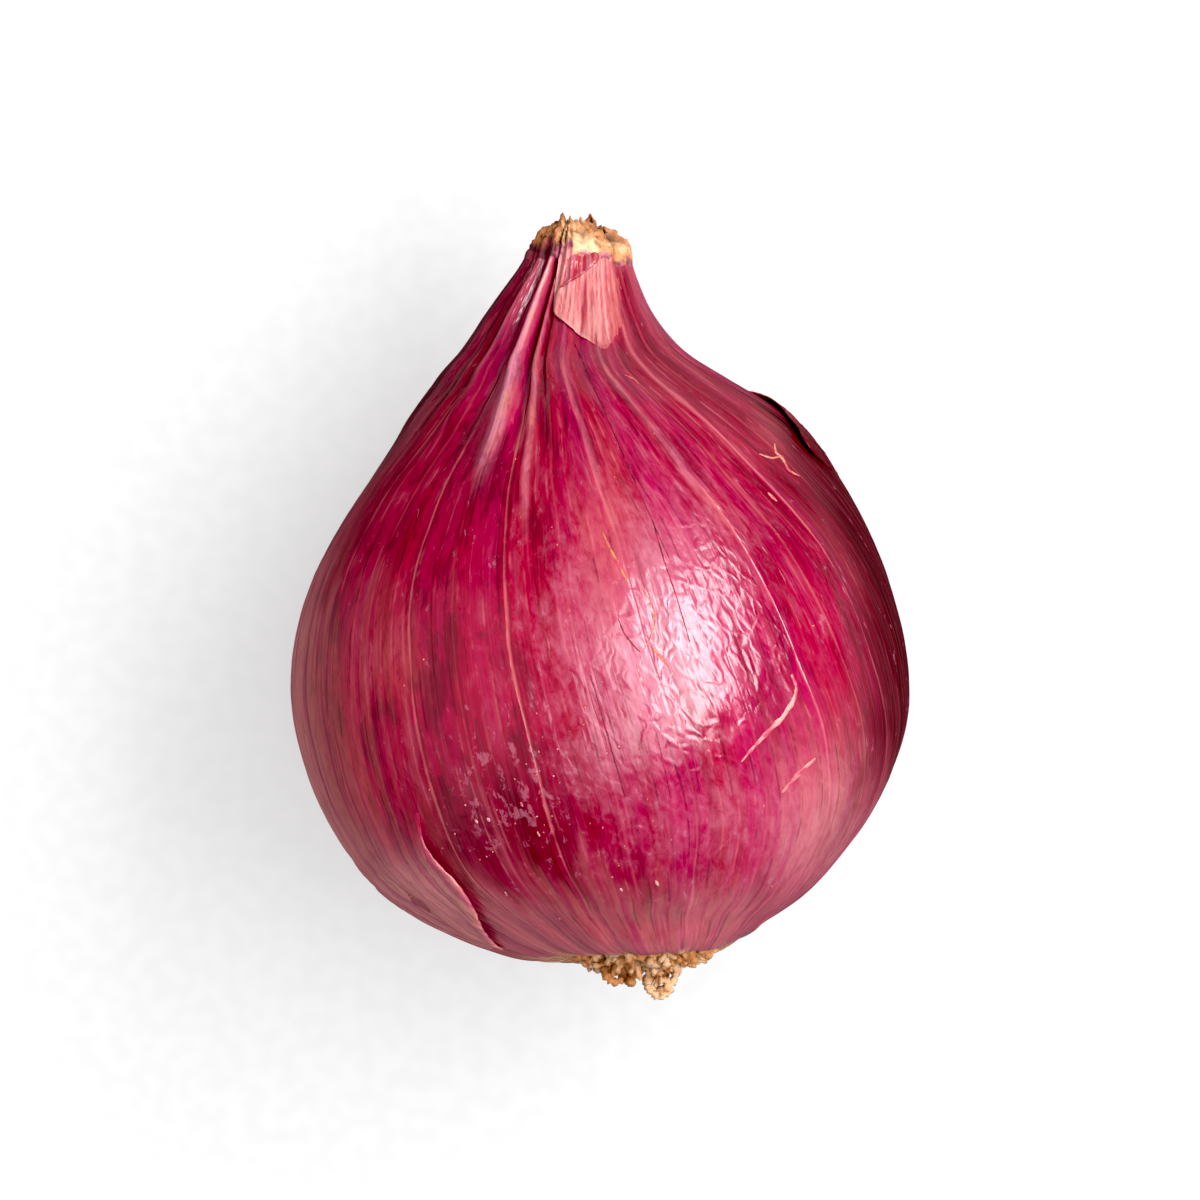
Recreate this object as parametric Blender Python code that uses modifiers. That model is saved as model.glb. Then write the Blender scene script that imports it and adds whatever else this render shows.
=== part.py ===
"""One shallot lying on its side, in metres, with +Z up and +Y towards its neck.

The bulb is a turned profile, bent and folded by formulas. The withered neck tip sits in the end of
the neck, and the root tuft, a basal plate with dead rootlets, sits in a dish at the other end.
"Around" is an angle about the bulb's own axis: 0 is +X and a quarter turn is straight up.
"Along" is a distance from the root end towards the neck.
"""

import math
import random

import bmesh
import bpy
import numpy as np
from mathutils import Matrix, Vector

MM = 0.001

# Outline of the bulb as (along, radius) in mm, from the root dish to the dish in the neck's end
PROFILE_MM = [
    (0.75, 0.0),
    (0.70, 3.4),
    (0.12, 5.3),
    (0.35, 7.0),
    (1.45, 9.3),
    (4.1, 12.9),
    (8.9, 16.3),
    (14.5, 18.0),
    (20.3, 17.3),
    (25.9, 14.8),
    (30.7, 11.4),
    (33.3, 8.5),
    (35.1, 6.35),
    (37.2, 4.8),
    (39.4, 3.8),
    (41.2, 3.1),
    (41.0, 2.5),
    (40.2, 1.7),
    (40.0, 0.0),
]
BULB_WIDTH = 36.0 * MM
BULB_LENGTH = 41.2 * MM
# Height over width of its cross-section, and two shallow lobes as shares of its radius
BULB_OVAL = 0.95
LOBES = ((2, 0.012), (3, 0.010))

# How finely it is divided
CURVE_SPANS = 14
RING_STEP = 1.15 * MM
NECK_RING_SHARE = 0.6
SEGMENTS = 60

# How far the axis bends sideways, as (along, place on X) in mm: the neck leans to -X
AXIS_MM = [
    (-3.0, -0.2),
    (1.5, -0.35),
    (5.0, -0.3),
    (12.0, 0.0),
    (20.0, 0.0),
    (28.0, 0.35),
    (31.5, -0.15),
    (34.5, -1.4),
    (37.0, -1.75),
    (40.5, -1.7),
    (44.0, -1.3),
]
# The root dish sits to the side of that axis
ROOT_ASIDE = 2.5 * MM
ROOT_ASIDE_WITHIN = (4.4 * MM, 10.5 * MM)

# The bulb lies with its neck a little down
NECK_DOWN = math.radians(4.0)

# The small flat spot that it rests on
REST_ALONG = 17.1 * MM
FLAT_DEPTH = 0.75 * MM

# Folds of the neck as (around in degrees, height in mm, half-width in degrees)
NECK_FOLDS = [
    (151, -0.24, 9),
    (128, 0.26, 8),
    (115, -0.26, 6),
    (103, 0.40, 7),
    (92, -0.48, 6),
    (84, 0.16, 5),
    (60, 0.10, 14),
    (28, -0.16, 9),
    (6, 0.20, 9),
]
FOLDS_FROM, FOLDS_TO = 25.5 * MM, 36.0 * MM
# Folds of the underside, spread evenly and varied
HIDDEN_FOLDS = 9
HIDDEN_FOLD_MM = 0.30
HIDDEN_FOLDS_START = 172

# Puckers round the root end, and shallow ribs over the body
ROOT_PUCKERS = 19
ROOT_PUCKER = 0.16 * MM
ROOT_PUCKER_REACH = 5.5 * MM
RIB = 0.07 * MM
RELIEF_FADES_WITHIN = 2.0 * MM

# Torn outer skin: the layer kept on the lower left, and a flake on the right shoulder. Angles are in
# degrees, and the first of each pair is the torn side
PATCH_CELLS = (5, 12)
PATCH_DEPTH = 1.2 * MM
PATCH_SUNK = 0.4 * MM
PATCH_SINKS_PAST = (0.4, 0.5)
FLAP_LIFT = 0.42 * MM
FLAP_ALONG = (1.2 * MM, 13.5 * MM)
FLAP_AROUND = (134.0, 178.0)
FLAKE_LIFT = 0.38 * MM
FLAKE_ALONG = (29.6 * MM, 34.2 * MM)
FLAKE_AROUND = (27.0, -12.0)
SKIN_TEAR = 1.6

# Root tuft: a plate, as (radius, depth under its top) in mm, and its rootlets
PLATE_MM = [(0.0, 0.0), (3.1, 0.03), (4.2, 0.42), (4.3, 0.75), (3.4, 1.05), (1.7, 1.4), (0.0, 1.5)]
PLATE_RADIUS = 4.3 * MM
PLATE_SEGMENTS = 24
PIECE_GAP = 0.3 * MM
ROOTLETS = 64
ROOTLET_RADIUS = 0.34 * MM
ROOTLET_THINS = (1.15, 0.6)
ROOTLET_LENGTH = (1.3 * MM, 2.5 * MM)
ROOTLET_POINTS = 5
ROOTLET_START = -0.25 * MM
ROOTLET_SPREAD = 0.84

# Withered neck tip: a core, as (radius, height over its foot) in mm, and the torn scales round it
CORE_MM = [(0.0, 2.5), (0.8, 2.3), (1.5, 1.65), (2.0, 1.3), (1.75, 0.75), (1.25, 0.12), (0.0, 0.0)]
CORE_SEGMENTS = 20
TIP_SCALES = 11
TIP_SCALE_CELLS = (3, 3)
TIP_SCALE_THICKNESS = 0.6 * MM
TIP_SCALE_HEIGHT = (1.5 * MM, 2.5 * MM)
TIP_SCALE_FOOT = (1.35 * MM, 1.7 * MM)
TIP_SCALE_RISES_FROM = 0.85 * MM
TIP_SCALE_BULGE = 0.15 * MM

SKIN_COLOUR = (0.36, 0.015, 0.075, 1.0)
ROOT_COLOUR = (0.46, 0.26, 0.10, 1.0)
TIP_COLOUR = (0.52, 0.30, 0.13, 1.0)
SEED = 41


def smoothstep(low, high, x):
    t = np.clip((np.asarray(x, float) - low) / (high - low), 0.0, 1.0)
    return t * t * (3.0 - 2.0 * t)


def angle_between(a, b):
    """Signed difference of two angles in degrees, from -180 to 180."""
    return (np.asarray(a, float) - b + 180.0) % 360.0 - 180.0


def smooth_line(knots_mm):
    """A smooth curve through the points, as an array of closely spaced points in metres."""
    knots = np.array(knots_mm) * MM
    ends = np.vstack([2 * knots[0] - knots[1], knots, 2 * knots[-1] - knots[-2]])
    t = (np.arange(CURVE_SPANS) / CURVE_SPANS)[:, None]
    spans = [
        0.5 * (2 * b + (c - a) * t + (2 * a - 5 * b + 4 * c - d) * t**2 + (3 * b - a - 3 * c + d) * t**3)
        for a, b, c, d in zip(ends, ends[1:], ends[2:], ends[3:])
    ]
    return np.vstack([*spans, knots[-1:]])


def profile_normals():
    """The outward direction at each point of the profile, as its parts along and out from the axis."""
    slope = np.gradient(PROFILE, axis=0)
    slope /= np.linalg.norm(slope, axis=1)[:, None]
    return -slope[:, 1], slope[:, 0]


AXIS = smooth_line(AXIS_MM)
PROFILE = smooth_line(PROFILE_MM)
ALONG, RADIUS = PROFILE[:, 0], np.maximum(PROFILE[:, 1], 0.0)
NORMAL_ALONG, NORMAL_OUT = profile_normals()
NECK_RIM = int(np.argmax(ALONG))


def seeded_folds():
    """The neck's folds with those of the hidden underside added at even, jittered angles."""
    draw = random.Random(SEED)
    folds = list(NECK_FOLDS)
    for i in range(HIDDEN_FOLDS):
        around = HIDDEN_FOLDS_START + (i + 0.5) * 180 / HIDDEN_FOLDS + draw.uniform(-5, 5)
        height = HIDDEN_FOLD_MM * (1 if i % 2 else -1) * draw.uniform(0.6, 1.0)
        folds.append((around, height, draw.uniform(6, 9)))
    return folds


FOLDS = seeded_folds()


def relief(around, along):
    """Height of the skin over the turned profile, in metres. around is in radians."""
    degrees = np.degrees(around)
    neck = smoothstep(FOLDS_FROM, FOLDS_TO, along)
    height = np.zeros_like(degrees)
    for at, tall, wide in FOLDS:
        height = height + neck * tall * MM * np.exp(-((angle_between(degrees, at) / wide) ** 2))
    root = 1.0 - smoothstep(0.0, ROOT_PUCKER_REACH, along)
    height = height + root * ROOT_PUCKER * np.cos(ROOT_PUCKERS * around + 2.0 * np.sin(3 * around))
    ribs = RIB * (np.cos(9 * around + 0.8) + 0.7 * np.cos(14 * around + 2.0))
    return height + (1.0 - neck) * (1.0 - root) * ribs


def axis_place(along):
    """Sideways place of the bulb's axis."""
    return float(np.interp(along, AXIS[:, 0], AXIS[:, 1]))


def root_place(radius):
    """How far a ring near the root end moves aside with the root dish."""
    return ROOT_ASIDE * float(1.0 - smoothstep(*ROOT_ASIDE_WITHIN, radius))


def skin_point(around, sample, lift=0.0):
    """A point over the bulb's skin in its own frame, whose +Z runs towards the neck and -Y is up."""
    along, radius = ALONG[sample], RADIUS[sample]
    share = min(1.0, radius / RELIEF_FADES_WITHIN)
    height = lift + share * float(relief(np.asarray(around), along))
    lobes = sum(size * math.sin(count * around) for count, size in LOBES)
    out = radius * (1.0 + lobes) + height * NORMAL_OUT[sample]
    along = along + height * NORMAL_ALONG[sample]
    x = axis_place(along) + out * math.cos(around)
    if along < BULB_LENGTH / 2:
        x += root_place(radius)
    return Vector((x, -BULB_OVAL * out * math.sin(around), along))


def sample_at(along):
    """The profile's sample on the outer skin that is nearest to a distance along the bulb."""
    first = int(np.argmin(ALONG[: len(ALONG) // 2]))
    return first + int(np.argmin(np.abs(ALONG[first : NECK_RIM + 1] - along)))


def ring_samples():
    """Profile samples a ring step apart, closer where the bulb is narrow, from neck to root."""
    kept, since = [0], 0.0
    for i in range(1, len(ALONG)):
        since += math.hypot(ALONG[i] - ALONG[i - 1], RADIUS[i] - RADIUS[i - 1])
        fullness = RADIUS[i] / (BULB_WIDTH / 2)
        if since >= RING_STEP * (NECK_RING_SHARE + (1 - NECK_RING_SHARE) * fullness):
            kept.append(i)
            since = 0.0
    kept[-1] = len(ALONG) - 1
    return kept[::-1]


def material(name, colour, roughness):
    made = bpy.data.materials.new(name)
    made.use_nodes = True
    shader = made.node_tree.nodes["Principled BSDF"]
    shader.inputs["Base Color"].default_value = colour
    shader.inputs["Roughness"].default_value = roughness
    shader.inputs["Metallic"].default_value = 0.0
    return made


def add_object(name, mesh, collection):
    made = bpy.data.objects.new(name, mesh)
    collection.objects.link(made)
    return made


def evaluated_mesh(source):
    """The object's mesh with its modifiers applied and a curve's caps welded."""
    bpy.context.view_layer.update()
    graph = bpy.context.evaluated_depsgraph_get()
    mesh = bpy.data.meshes.new_from_object(source.evaluated_get(graph))
    welded = bmesh.new()
    welded.from_mesh(mesh)
    bmesh.ops.remove_doubles(welded, verts=welded.verts, dist=1e-6)
    welded.to_mesh(mesh)
    welded.free()
    return mesh


def settle_modifiers(body):
    """Replaces the object's mesh by its evaluated one and drops its modifiers."""
    mesh = evaluated_mesh(body)
    body.modifiers.clear()
    body.data = mesh


def turned(name, outline, segments, collection):
    """A closed body turned about Z from (x, z) points that run down its outer side."""
    mesh = bpy.data.meshes.new(name)
    mesh.from_pydata([(x, 0.0, z) for x, z in outline], [(i, i + 1) for i in range(len(outline) - 1)], [])
    body = add_object(name, mesh, collection)
    screw = body.modifiers.new("turn", "SCREW")
    screw.steps = screw.render_steps = segments
    screw.use_merge_vertices = True
    screw.merge_threshold = 1e-6
    settle_modifiers(body)
    return body


def union_all(body, extras):
    """Fuses the collection's objects into the body, then removes them."""
    join = body.modifiers.new("fuse", "BOOLEAN")
    join.operation = "UNION"
    join.operand_type = "COLLECTION"
    join.collection = extras
    settle_modifiers(body)
    for extra in list(extras.objects):
        bpy.data.objects.remove(extra)
    bpy.data.collections.remove(extras)


def new_collection(name):
    made = bpy.data.collections.new(name)
    bpy.context.scene.collection.children.link(made)
    return made


def mapped_slab(name, columns, rows, place, collection):
    """A slab one cell thick, whose corners go where place(u, v, w) puts them. w is 0 inside and 1 outside."""
    bits = bmesh.new()
    bmesh.ops.create_grid(bits, x_segments=columns, y_segments=rows, size=0.5)
    outer = bmesh.ops.extrude_face_region(bits, geom=bits.faces[:], use_keep_orig=True)
    for corner in outer["geom"]:
        if isinstance(corner, bmesh.types.BMVert):
            corner.co.z = 1.0
    for corner in bits.verts:
        corner.co = place(corner.co.x + 0.5, corner.co.y + 0.5, corner.co.z)
    bmesh.ops.triangulate(bits, faces=bits.faces[:])
    bmesh.ops.recalc_face_normals(bits, faces=bits.faces[:])
    mesh = bpy.data.meshes.new(name)
    bits.to_mesh(mesh)
    bits.free()
    return add_object(name, mesh, collection)


def skin_patch(name, along, around, lift, collection, seed):
    """A torn layer of outer skin. It stands up at its torn side and sinks in on its others."""
    draw = random.Random(seed)
    columns, rows = PATCH_CELLS
    tear = [draw.uniform(-SKIN_TEAR, SKIN_TEAR) for _ in range(rows + 1)]

    def place(u, v, w):
        at = around[0] + u * (around[1] - around[0]) + tear[round(v * rows)] * (1.0 - u)
        sample = sample_at(along[0] + v * (along[1] - along[0]))
        sunk = sum(float(smoothstep(past, 1.0, x)) for past, x in zip(PATCH_SINKS_PAST, (u, v)))
        height = lift - min(1.0, sunk) * (lift + PATCH_SUNK)
        return skin_point(math.radians(at), sample, height - (1.0 - w) * PATCH_DEPTH)

    return mapped_slab(name, columns, rows, place, collection)


def make_bulb(collection, cutters):
    samples = np.array(ring_samples())
    bulb = turned("bulb", [(RADIUS[i], ALONG[i]) for i in samples], SEGMENTS, collection)
    for corner in bulb.data.vertices:
        x, y, along = corner.co
        distance = np.hypot(ALONG[samples] - along, RADIUS[samples] - math.hypot(x, y))
        corner.co = skin_point(math.atan2(-y, x), samples[np.argmin(distance)])
    layers = new_collection("outer_skin")
    skin_patch("flap", FLAP_ALONG, FLAP_AROUND, FLAP_LIFT, layers, SEED + 1)
    skin_patch("flake", FLAKE_ALONG, FLAKE_AROUND, FLAKE_LIFT, layers, SEED + 2)
    union_all(bulb, layers)
    cut = bulb.modifiers.new("rest_spot", "BOOLEAN")
    cut.operation = "DIFFERENCE"
    cut.object = make_table(cutters)
    return bulb


def make_table(cutters):
    """The block under the surface that the shallot lies on, which cuts its flat spot."""
    side = BULB_WIDTH
    bpy.ops.mesh.primitive_cube_add(size=side, location=(0.0, 0.0, -side / 2))
    table = bpy.context.object
    table.name = "table"
    bpy.context.collection.objects.unlink(table)
    cutters.objects.link(table)
    table.hide_render = True
    table.display_type = "WIRE"
    return table


def rootlet_points(draw, place):
    """A dead rootlet: it leaves the plate outwards and leans further over as it goes."""
    spread = math.hypot(*place) / PLATE_RADIUS
    step = draw.uniform(*ROOTLET_LENGTH) / (ROOTLET_POINTS - 1)
    heading = math.atan2(place[1], place[0]) + draw.uniform(-0.9, 0.9)
    turn = draw.uniform(-0.4, 0.4)
    lean = 0.2 + 0.5 * spread + draw.uniform(-0.2, 0.3)
    points = [Vector((*place, ROOTLET_START))]
    for i in range(1, ROOTLET_POINTS):
        heading += turn
        bend = min(lean + 0.3 * i * spread, 1.25)
        side = math.sin(bend)
        way = Vector((side * math.cos(heading), side * math.sin(heading), -math.cos(bend)))
        points.append(points[-1] + step * way)
    return points


def make_rootlet(name, points, collection):
    line = bpy.data.curves.new(name, "CURVE")
    line.dimensions = "3D"
    line.bevel_depth = ROOTLET_RADIUS
    line.bevel_resolution = 0
    line.use_fill_caps = True
    spline = line.splines.new("POLY")
    spline.points.add(len(points) - 1)
    thick, thin = ROOTLET_THINS
    for i, (end, point) in enumerate(zip(spline.points, points)):
        end.co = (*point, 1.0)
        end.radius = thick + (thin - thick) * i / (len(points) - 1)
    curve = add_object(name + "_line", line, collection)
    solid = add_object(name, evaluated_mesh(curve), collection)
    solid.matrix_world = curve.matrix_world
    bpy.data.objects.remove(curve)


def make_root_tuft(collection):
    """The basal plate in the bulb's root dish, with its rootlets fused on."""
    top = PROFILE_MM[0][0] * MM - PIECE_GAP
    tuft = turned("root_tuft", [(x * MM, top - z * MM) for x, z in PLATE_MM], PLATE_SEGMENTS, collection)
    draw = random.Random(SEED + 3)
    rootlets = new_collection("rootlets")
    golden_angle = math.pi * (3 - math.sqrt(5))
    for i in range(ROOTLETS):
        out = PLATE_RADIUS * ROOTLET_SPREAD * math.sqrt((i + 0.5) / ROOTLETS)
        at = i * golden_angle + draw.uniform(-0.15, 0.15)
        points = rootlet_points(draw, (out * math.cos(at), out * math.sin(at)))
        make_rootlet(f"rootlet_{i}", points, rootlets)
    union_all(tuft, rootlets)
    tuft.data.transform(Matrix.Translation((axis_place(0.0) + ROOT_ASIDE, 0.0, 0.0)))
    return tuft


def make_tip_scale(name, around, foot_at, draw, collection):
    """A curved, torn strip that stands out of the core and leans."""
    columns, rows = TIP_SCALE_CELLS
    tall = draw.uniform(*TIP_SCALE_HEIGHT)
    wide = draw.uniform(0.42, 0.62)
    foot, lean = draw.uniform(*TIP_SCALE_FOOT), draw.uniform(-0.35, 0.55)
    tear = [draw.uniform(0.7, 1.0) for _ in range(columns + 1)]

    def place(u, v, w):
        rise = v * tall * tear[round(u * columns)]
        out = foot + lean * rise * v + TIP_SCALE_BULGE * math.sin(math.pi * v)
        out += (w - 0.5) * TIP_SCALE_THICKNESS
        at = around + (u - 0.5) * 2 * wide * (1.0 - 0.45 * v)
        return Vector((out * math.cos(at), -out * math.sin(at), foot_at + rise))

    mapped_slab(name, columns, rows, place, collection)


def make_neck_tip(collection):
    """The withered end of the leaves: a short core ringed by torn, papery scales."""
    foot = PROFILE_MM[-1][0] * MM + PIECE_GAP
    tip = turned("neck_tip", [(x * MM, foot + z * MM) for x, z in CORE_MM], CORE_SEGMENTS, collection)
    draw = random.Random(SEED + 4)
    scales = new_collection("scales")
    for i in range(TIP_SCALES):
        around = (i + draw.uniform(-0.25, 0.25)) * 2 * math.pi / TIP_SCALES
        make_tip_scale(f"scale_{i}", around, foot + TIP_SCALE_RISES_FROM, draw, scales)
    union_all(tip, scales)
    tip.data.transform(Matrix.Translation((axis_place(BULB_LENGTH), 0.0, 0.0)))
    return tip


def make_axis(collection):
    """The empty that carries the bulb's own frame: its +Z runs from the root end to the neck."""
    axis = bpy.data.objects.new("bulb_axis", None)
    collection.objects.link(axis)
    height = BULB_OVAL * float(np.max(RADIUS)) - FLAT_DEPTH
    axis.location = (
        0.0,
        -REST_ALONG * math.cos(NECK_DOWN),
        height + REST_ALONG * math.sin(NECK_DOWN),
    )
    axis.rotation_euler = (-math.pi / 2 - NECK_DOWN, 0.0, 0.0)
    return axis


def main():
    for old in list(bpy.data.objects):
        bpy.data.objects.remove(old)
    shallot = new_collection("shallot")
    cutters = new_collection("cutters")
    axis = make_axis(shallot)
    parts = [
        (make_bulb(shallot, cutters), material("skin", SKIN_COLOUR, 0.38)),
        (make_root_tuft(shallot), material("dry_root", ROOT_COLOUR, 0.85)),
        (make_neck_tip(shallot), material("dry_neck", TIP_COLOUR, 0.8)),
    ]
    for part, finish in parts:
        part.parent = axis
        part.data.materials.clear()
        part.data.materials.append(finish)
        part.data.shade_smooth()
        part.data.set_sharp_from_angle(angle=math.radians(50))


main()
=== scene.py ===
"""A shallot lying on its side: the looks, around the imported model.

The bulb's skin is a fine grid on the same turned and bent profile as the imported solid. Its colours follow
"flow" lines, the skin's own fibres, which run from the root to the neck and bunch up in the neck's folds.
"Around" is an angle about the bulb's axis in degrees: 0 is +X and 90 is straight up.
"Along" is a distance from the root end towards the neck.
"""

import math
import random

import bpy
import numpy as np
from mathutils import Matrix, Vector, noise


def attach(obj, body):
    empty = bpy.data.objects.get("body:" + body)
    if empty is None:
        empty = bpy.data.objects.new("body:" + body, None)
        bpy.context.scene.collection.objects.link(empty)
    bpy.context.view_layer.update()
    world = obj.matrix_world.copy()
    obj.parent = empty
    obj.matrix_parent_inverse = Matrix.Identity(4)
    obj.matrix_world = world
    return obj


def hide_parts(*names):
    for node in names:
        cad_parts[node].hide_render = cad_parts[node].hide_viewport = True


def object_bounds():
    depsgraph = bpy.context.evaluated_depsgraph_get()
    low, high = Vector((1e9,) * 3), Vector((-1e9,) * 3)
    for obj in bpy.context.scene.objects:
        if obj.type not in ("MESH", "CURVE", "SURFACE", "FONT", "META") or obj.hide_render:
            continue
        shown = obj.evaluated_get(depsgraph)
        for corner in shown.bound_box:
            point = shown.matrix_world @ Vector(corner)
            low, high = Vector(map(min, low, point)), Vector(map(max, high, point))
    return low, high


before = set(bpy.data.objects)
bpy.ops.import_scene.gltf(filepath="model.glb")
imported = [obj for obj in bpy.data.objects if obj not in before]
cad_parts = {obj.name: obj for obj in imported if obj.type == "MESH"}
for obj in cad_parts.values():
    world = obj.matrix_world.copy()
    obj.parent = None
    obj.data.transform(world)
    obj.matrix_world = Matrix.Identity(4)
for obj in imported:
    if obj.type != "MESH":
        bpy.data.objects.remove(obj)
CAD_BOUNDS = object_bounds()

MM = 0.001

# Outline of the bulb as (along, radius) in mm, from the root dish to the dish in the neck's end
PROFILE_MM = [
    (0.75, 0.0), (0.70, 3.4), (0.12, 5.3), (0.35, 7.0), (1.45, 9.3), (4.1, 12.9), (8.9, 16.3),
    (14.5, 18.0), (20.3, 17.3), (25.9, 14.8), (30.7, 11.4), (33.3, 8.5), (35.1, 6.35), (37.2, 4.8),
    (39.4, 3.8), (41.2, 3.1), (41.0, 2.5), (40.2, 1.7), (40.0, 0.0),
]
# How far the axis bends sideways, as (along, place on X) in mm
AXIS_MM = [
    (-3.0, -0.2), (1.5, -0.35), (5.0, -0.3), (12.0, 0.0), (20.0, 0.0), (28.0, 0.35), (31.5, -0.15),
    (34.5, -1.4), (37.0, -1.75), (40.5, -1.7), (44.0, -1.3),
]
GIRTH_RADIUS = 18.0
BULB_OVAL = 0.95
LOBES = ((2, 0.012), (3, 0.010))
# The root end stands aside and out a little, and tilts and curls up at its right: in mm, within radii
ROOT_ASIDE = 2.5
ROOT_ASIDE_WITHIN = (4.4, 10.5)
ROOT_TILT = 0.11
ROOT_TILT_FROM = 3.5
ROOT_TILT_WITHIN = (6.0, 9.4)
ROOT_CURL = 0.09
ROOT_CURL_FROM = 5.5
ROOT_PUSHED = 0.42
# The neck's left edge is tucked in, in mm, and the whole bulb dips towards its neck
NECK_TUCK = 0.95
NECK_TUCK_FROM, NECK_TUCK_TO = 36.6, 41.3
NECK_DOWN = math.radians(4.0)
REST_ALONG = 17.1
FLAT_DEPTH = 0.75

# The flow lines: at each distance along, in mm, how far the skin's fibres have turned about the axis and
# how far they bunch towards its top, in degrees
FLOW = [
    (0.0, -18.5, -20.0), (1.0, -20.8, -20.0), (2.3, -18.7, -19.0), (4.1, -14.2, -18.0),
    (6.5, -10.6, -15.0), (11.0, -4.6, -6.5), (15.5, 0.0, 0.0), (20.0, 3.5, 3.0), (24.0, 7.0, 7.0),
    (28.5, 12.0, 16.0), (33.0, 13.5, 25.0), (37.0, 8.0, 20.0), (41.0, 3.5, 18.0), (45.0, 2.0, 18.0),
]

# Folds of the neck as (flow angle in degrees, height in mm, half-width in degrees)
NECK_FOLDS = [
    (172, 0.22, 9), (163, -0.22, 5), (156, 0.16, 4), (150, -0.24, 4), (144, 0.20, 4), (132, -0.34, 4),
    (117, 0.40, 5.5), (108, -0.42, 3.5), (102, 0.18, 3), (97, -0.30, 2.5), (91, 0.10, 3), (81, 0.16, 4),
    (66, -0.12, 4), (51, 0.12, 6), (29, 0.12, 4), (20, -0.14, 7), (2, 0.18, 9),
]
# The plainest veins, as (flow angle, strength); the rest of the bulb gets evenly spaced fainter ones
TOP_VEINS = [
    (14, 0.3), (29, 0.9), (39, 0.45), (51, 0.8), (66, 0.3), (80, 0.8), (93, 0.25), (106, 1.0),
    (117, 0.3), (127, 1.0), (138, 0.35), (149, 0.7), (163, 0.4), (177, 0.5),
]
HIDDEN_VEINS = 13
# Pale strokes (above 0) and dark ones down the neck, as (flow angle, half-width, from, to, strength),
# in degrees and in mm along. The pale ones run on the fold ridges: paler fibres, with a painted highlight
# on the broad ridge at 116. The dark ones run in the furrows between the folds and are painted shade
NECK_STROKES_LIGHT_AND_SHADE = [
    (116, 3.2, 24.0, 41.0, 1.00), (101, 1.6, 21.0, 38.0, 0.60), (94, 1.0, 31.0, 37.0, 0.35),
    (79, 1.2, 21.0, 37.0, 0.45), (52, 2.6, 20.0, 36.5, 0.40), (46, 1.0, 20.0, 35.5, 0.20),
    (29, 1.0, 20.0, 38.0, 0.30), (143, 1.8, 30.0, 40.0, 0.50), (127, 2.0, 26.0, 36.0, 0.35),
    (107.5, 2.2, 29.0, 40.0, -0.85), (97, 1.8, 35.0, 41.8, -1.00), (66, 1.2, 26.0, 36.0, -0.50),
    (39, 5.0, 24.0, 35.5, -0.30), (14, 9.0, 24.0, 40.5, -0.60), (131, 2.4, 31.0, 41.0, -0.65),
    (160, 8.0, 29.0, 41.0, -0.80),
]
FOLDS_FROM, FOLDS_TO = 25.0, 35.5
# Soft round patches seen from above, each as (strength, x, along, half-width, half-height) in mm
PATCHES = {
    "matte": [(0.4, 12.5, 8.0, 3.5, 5.0), (0.15, 9.9, 31.0, 1.1, 1.7)],
    # Darker crimson: the two patches on the right are painted shade, the others darken the lower left and the
    # root end
    "dark_and_shade": [
        (0.95, -5.0, 7.5, 4.5, 4.0), (0.3, 10.0, 14.0, 1.6, 4.0), (0.65, 11.5, 27.0, 3.5, 5.0),
        (0.45, -1.0, 4.0, 5.5, 2.8),
    ],
    # Pinker skin; the large patch round the highlight is partly a painted glow of that highlight
    "rosy_and_glow": [
        (0.85, 3.0, 19.5, 6.0, 8.0), (0.55, 1.0, 11.5, 4.5, 4.5), (0.6, 12.0, 8.0, 4.0, 5.0),
        (0.30, 8.5, 24.5, 2.5, 3.0), (0.45, 6.0, 8.0, 8.0, 4.5), (0.18, 13.0, 18.0, 2.2, 7.0),
    ],
    # Salmon patches: the band down the top middle is partly a painted sheen, the one at the left a salmon
    # smudge
    "salmon": [(0.75, 0.4, 24.0, 1.6, 5.0), (0.6, -11.6, 16.7, 1.3, 1.8)],
    "flaky": [(1.0, -5.0, 9.5, 5.0, 5.5), (0.5, 3.0, 9.0, 7.0, 5.0)],
    "crinkled": [(1.0, 5.5, 17.5, 5.5, 8.5)],
}

BULB_COLUMNS, BULB_ROWS = 440, 205
SEED = 7


def ease(low, high, x):
    """0 at low, 1 at high and eased between them, whichever of the two is the larger."""
    t = np.clip((np.asarray(x, float) - low) / (high - low), 0.0, 1.0)
    return t * t * (3.0 - 2.0 * t)


def bump(centre, width, x):
    return np.exp(-(((np.asarray(x, float) - centre) / width) ** 2))


def turn_between(a, b):
    """Signed difference of two angles in degrees, from -180 to 180."""
    return (np.asarray(a, float) - b + 180.0) % 360.0 - 180.0


def smooth_line(knots, spans=24):
    """A smooth curve through the points, as an array of closely spaced points."""
    knots = np.array(knots, float)
    ends = np.vstack([2 * knots[0] - knots[1], knots, 2 * knots[-1] - knots[-2]])
    t = (np.arange(spans) / spans)[:, None]
    pieces = [
        0.5 * (2 * b + (c - a) * t + (2 * a - 5 * b + 4 * c - d) * t**2 + (3 * b - a - 3 * c + d) * t**3)
        for a, b, c, d in zip(ends, ends[1:], ends[2:], ends[3:])
    ]
    return np.vstack([*pieces, knots[-1:]])


def lookup(knots, x):
    """The smooth curve's other values where its first one is x, one column each."""
    line = smooth_line(knots)
    return [np.interp(x, line[:, 0], column) for column in line[:, 1:].T]


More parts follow.
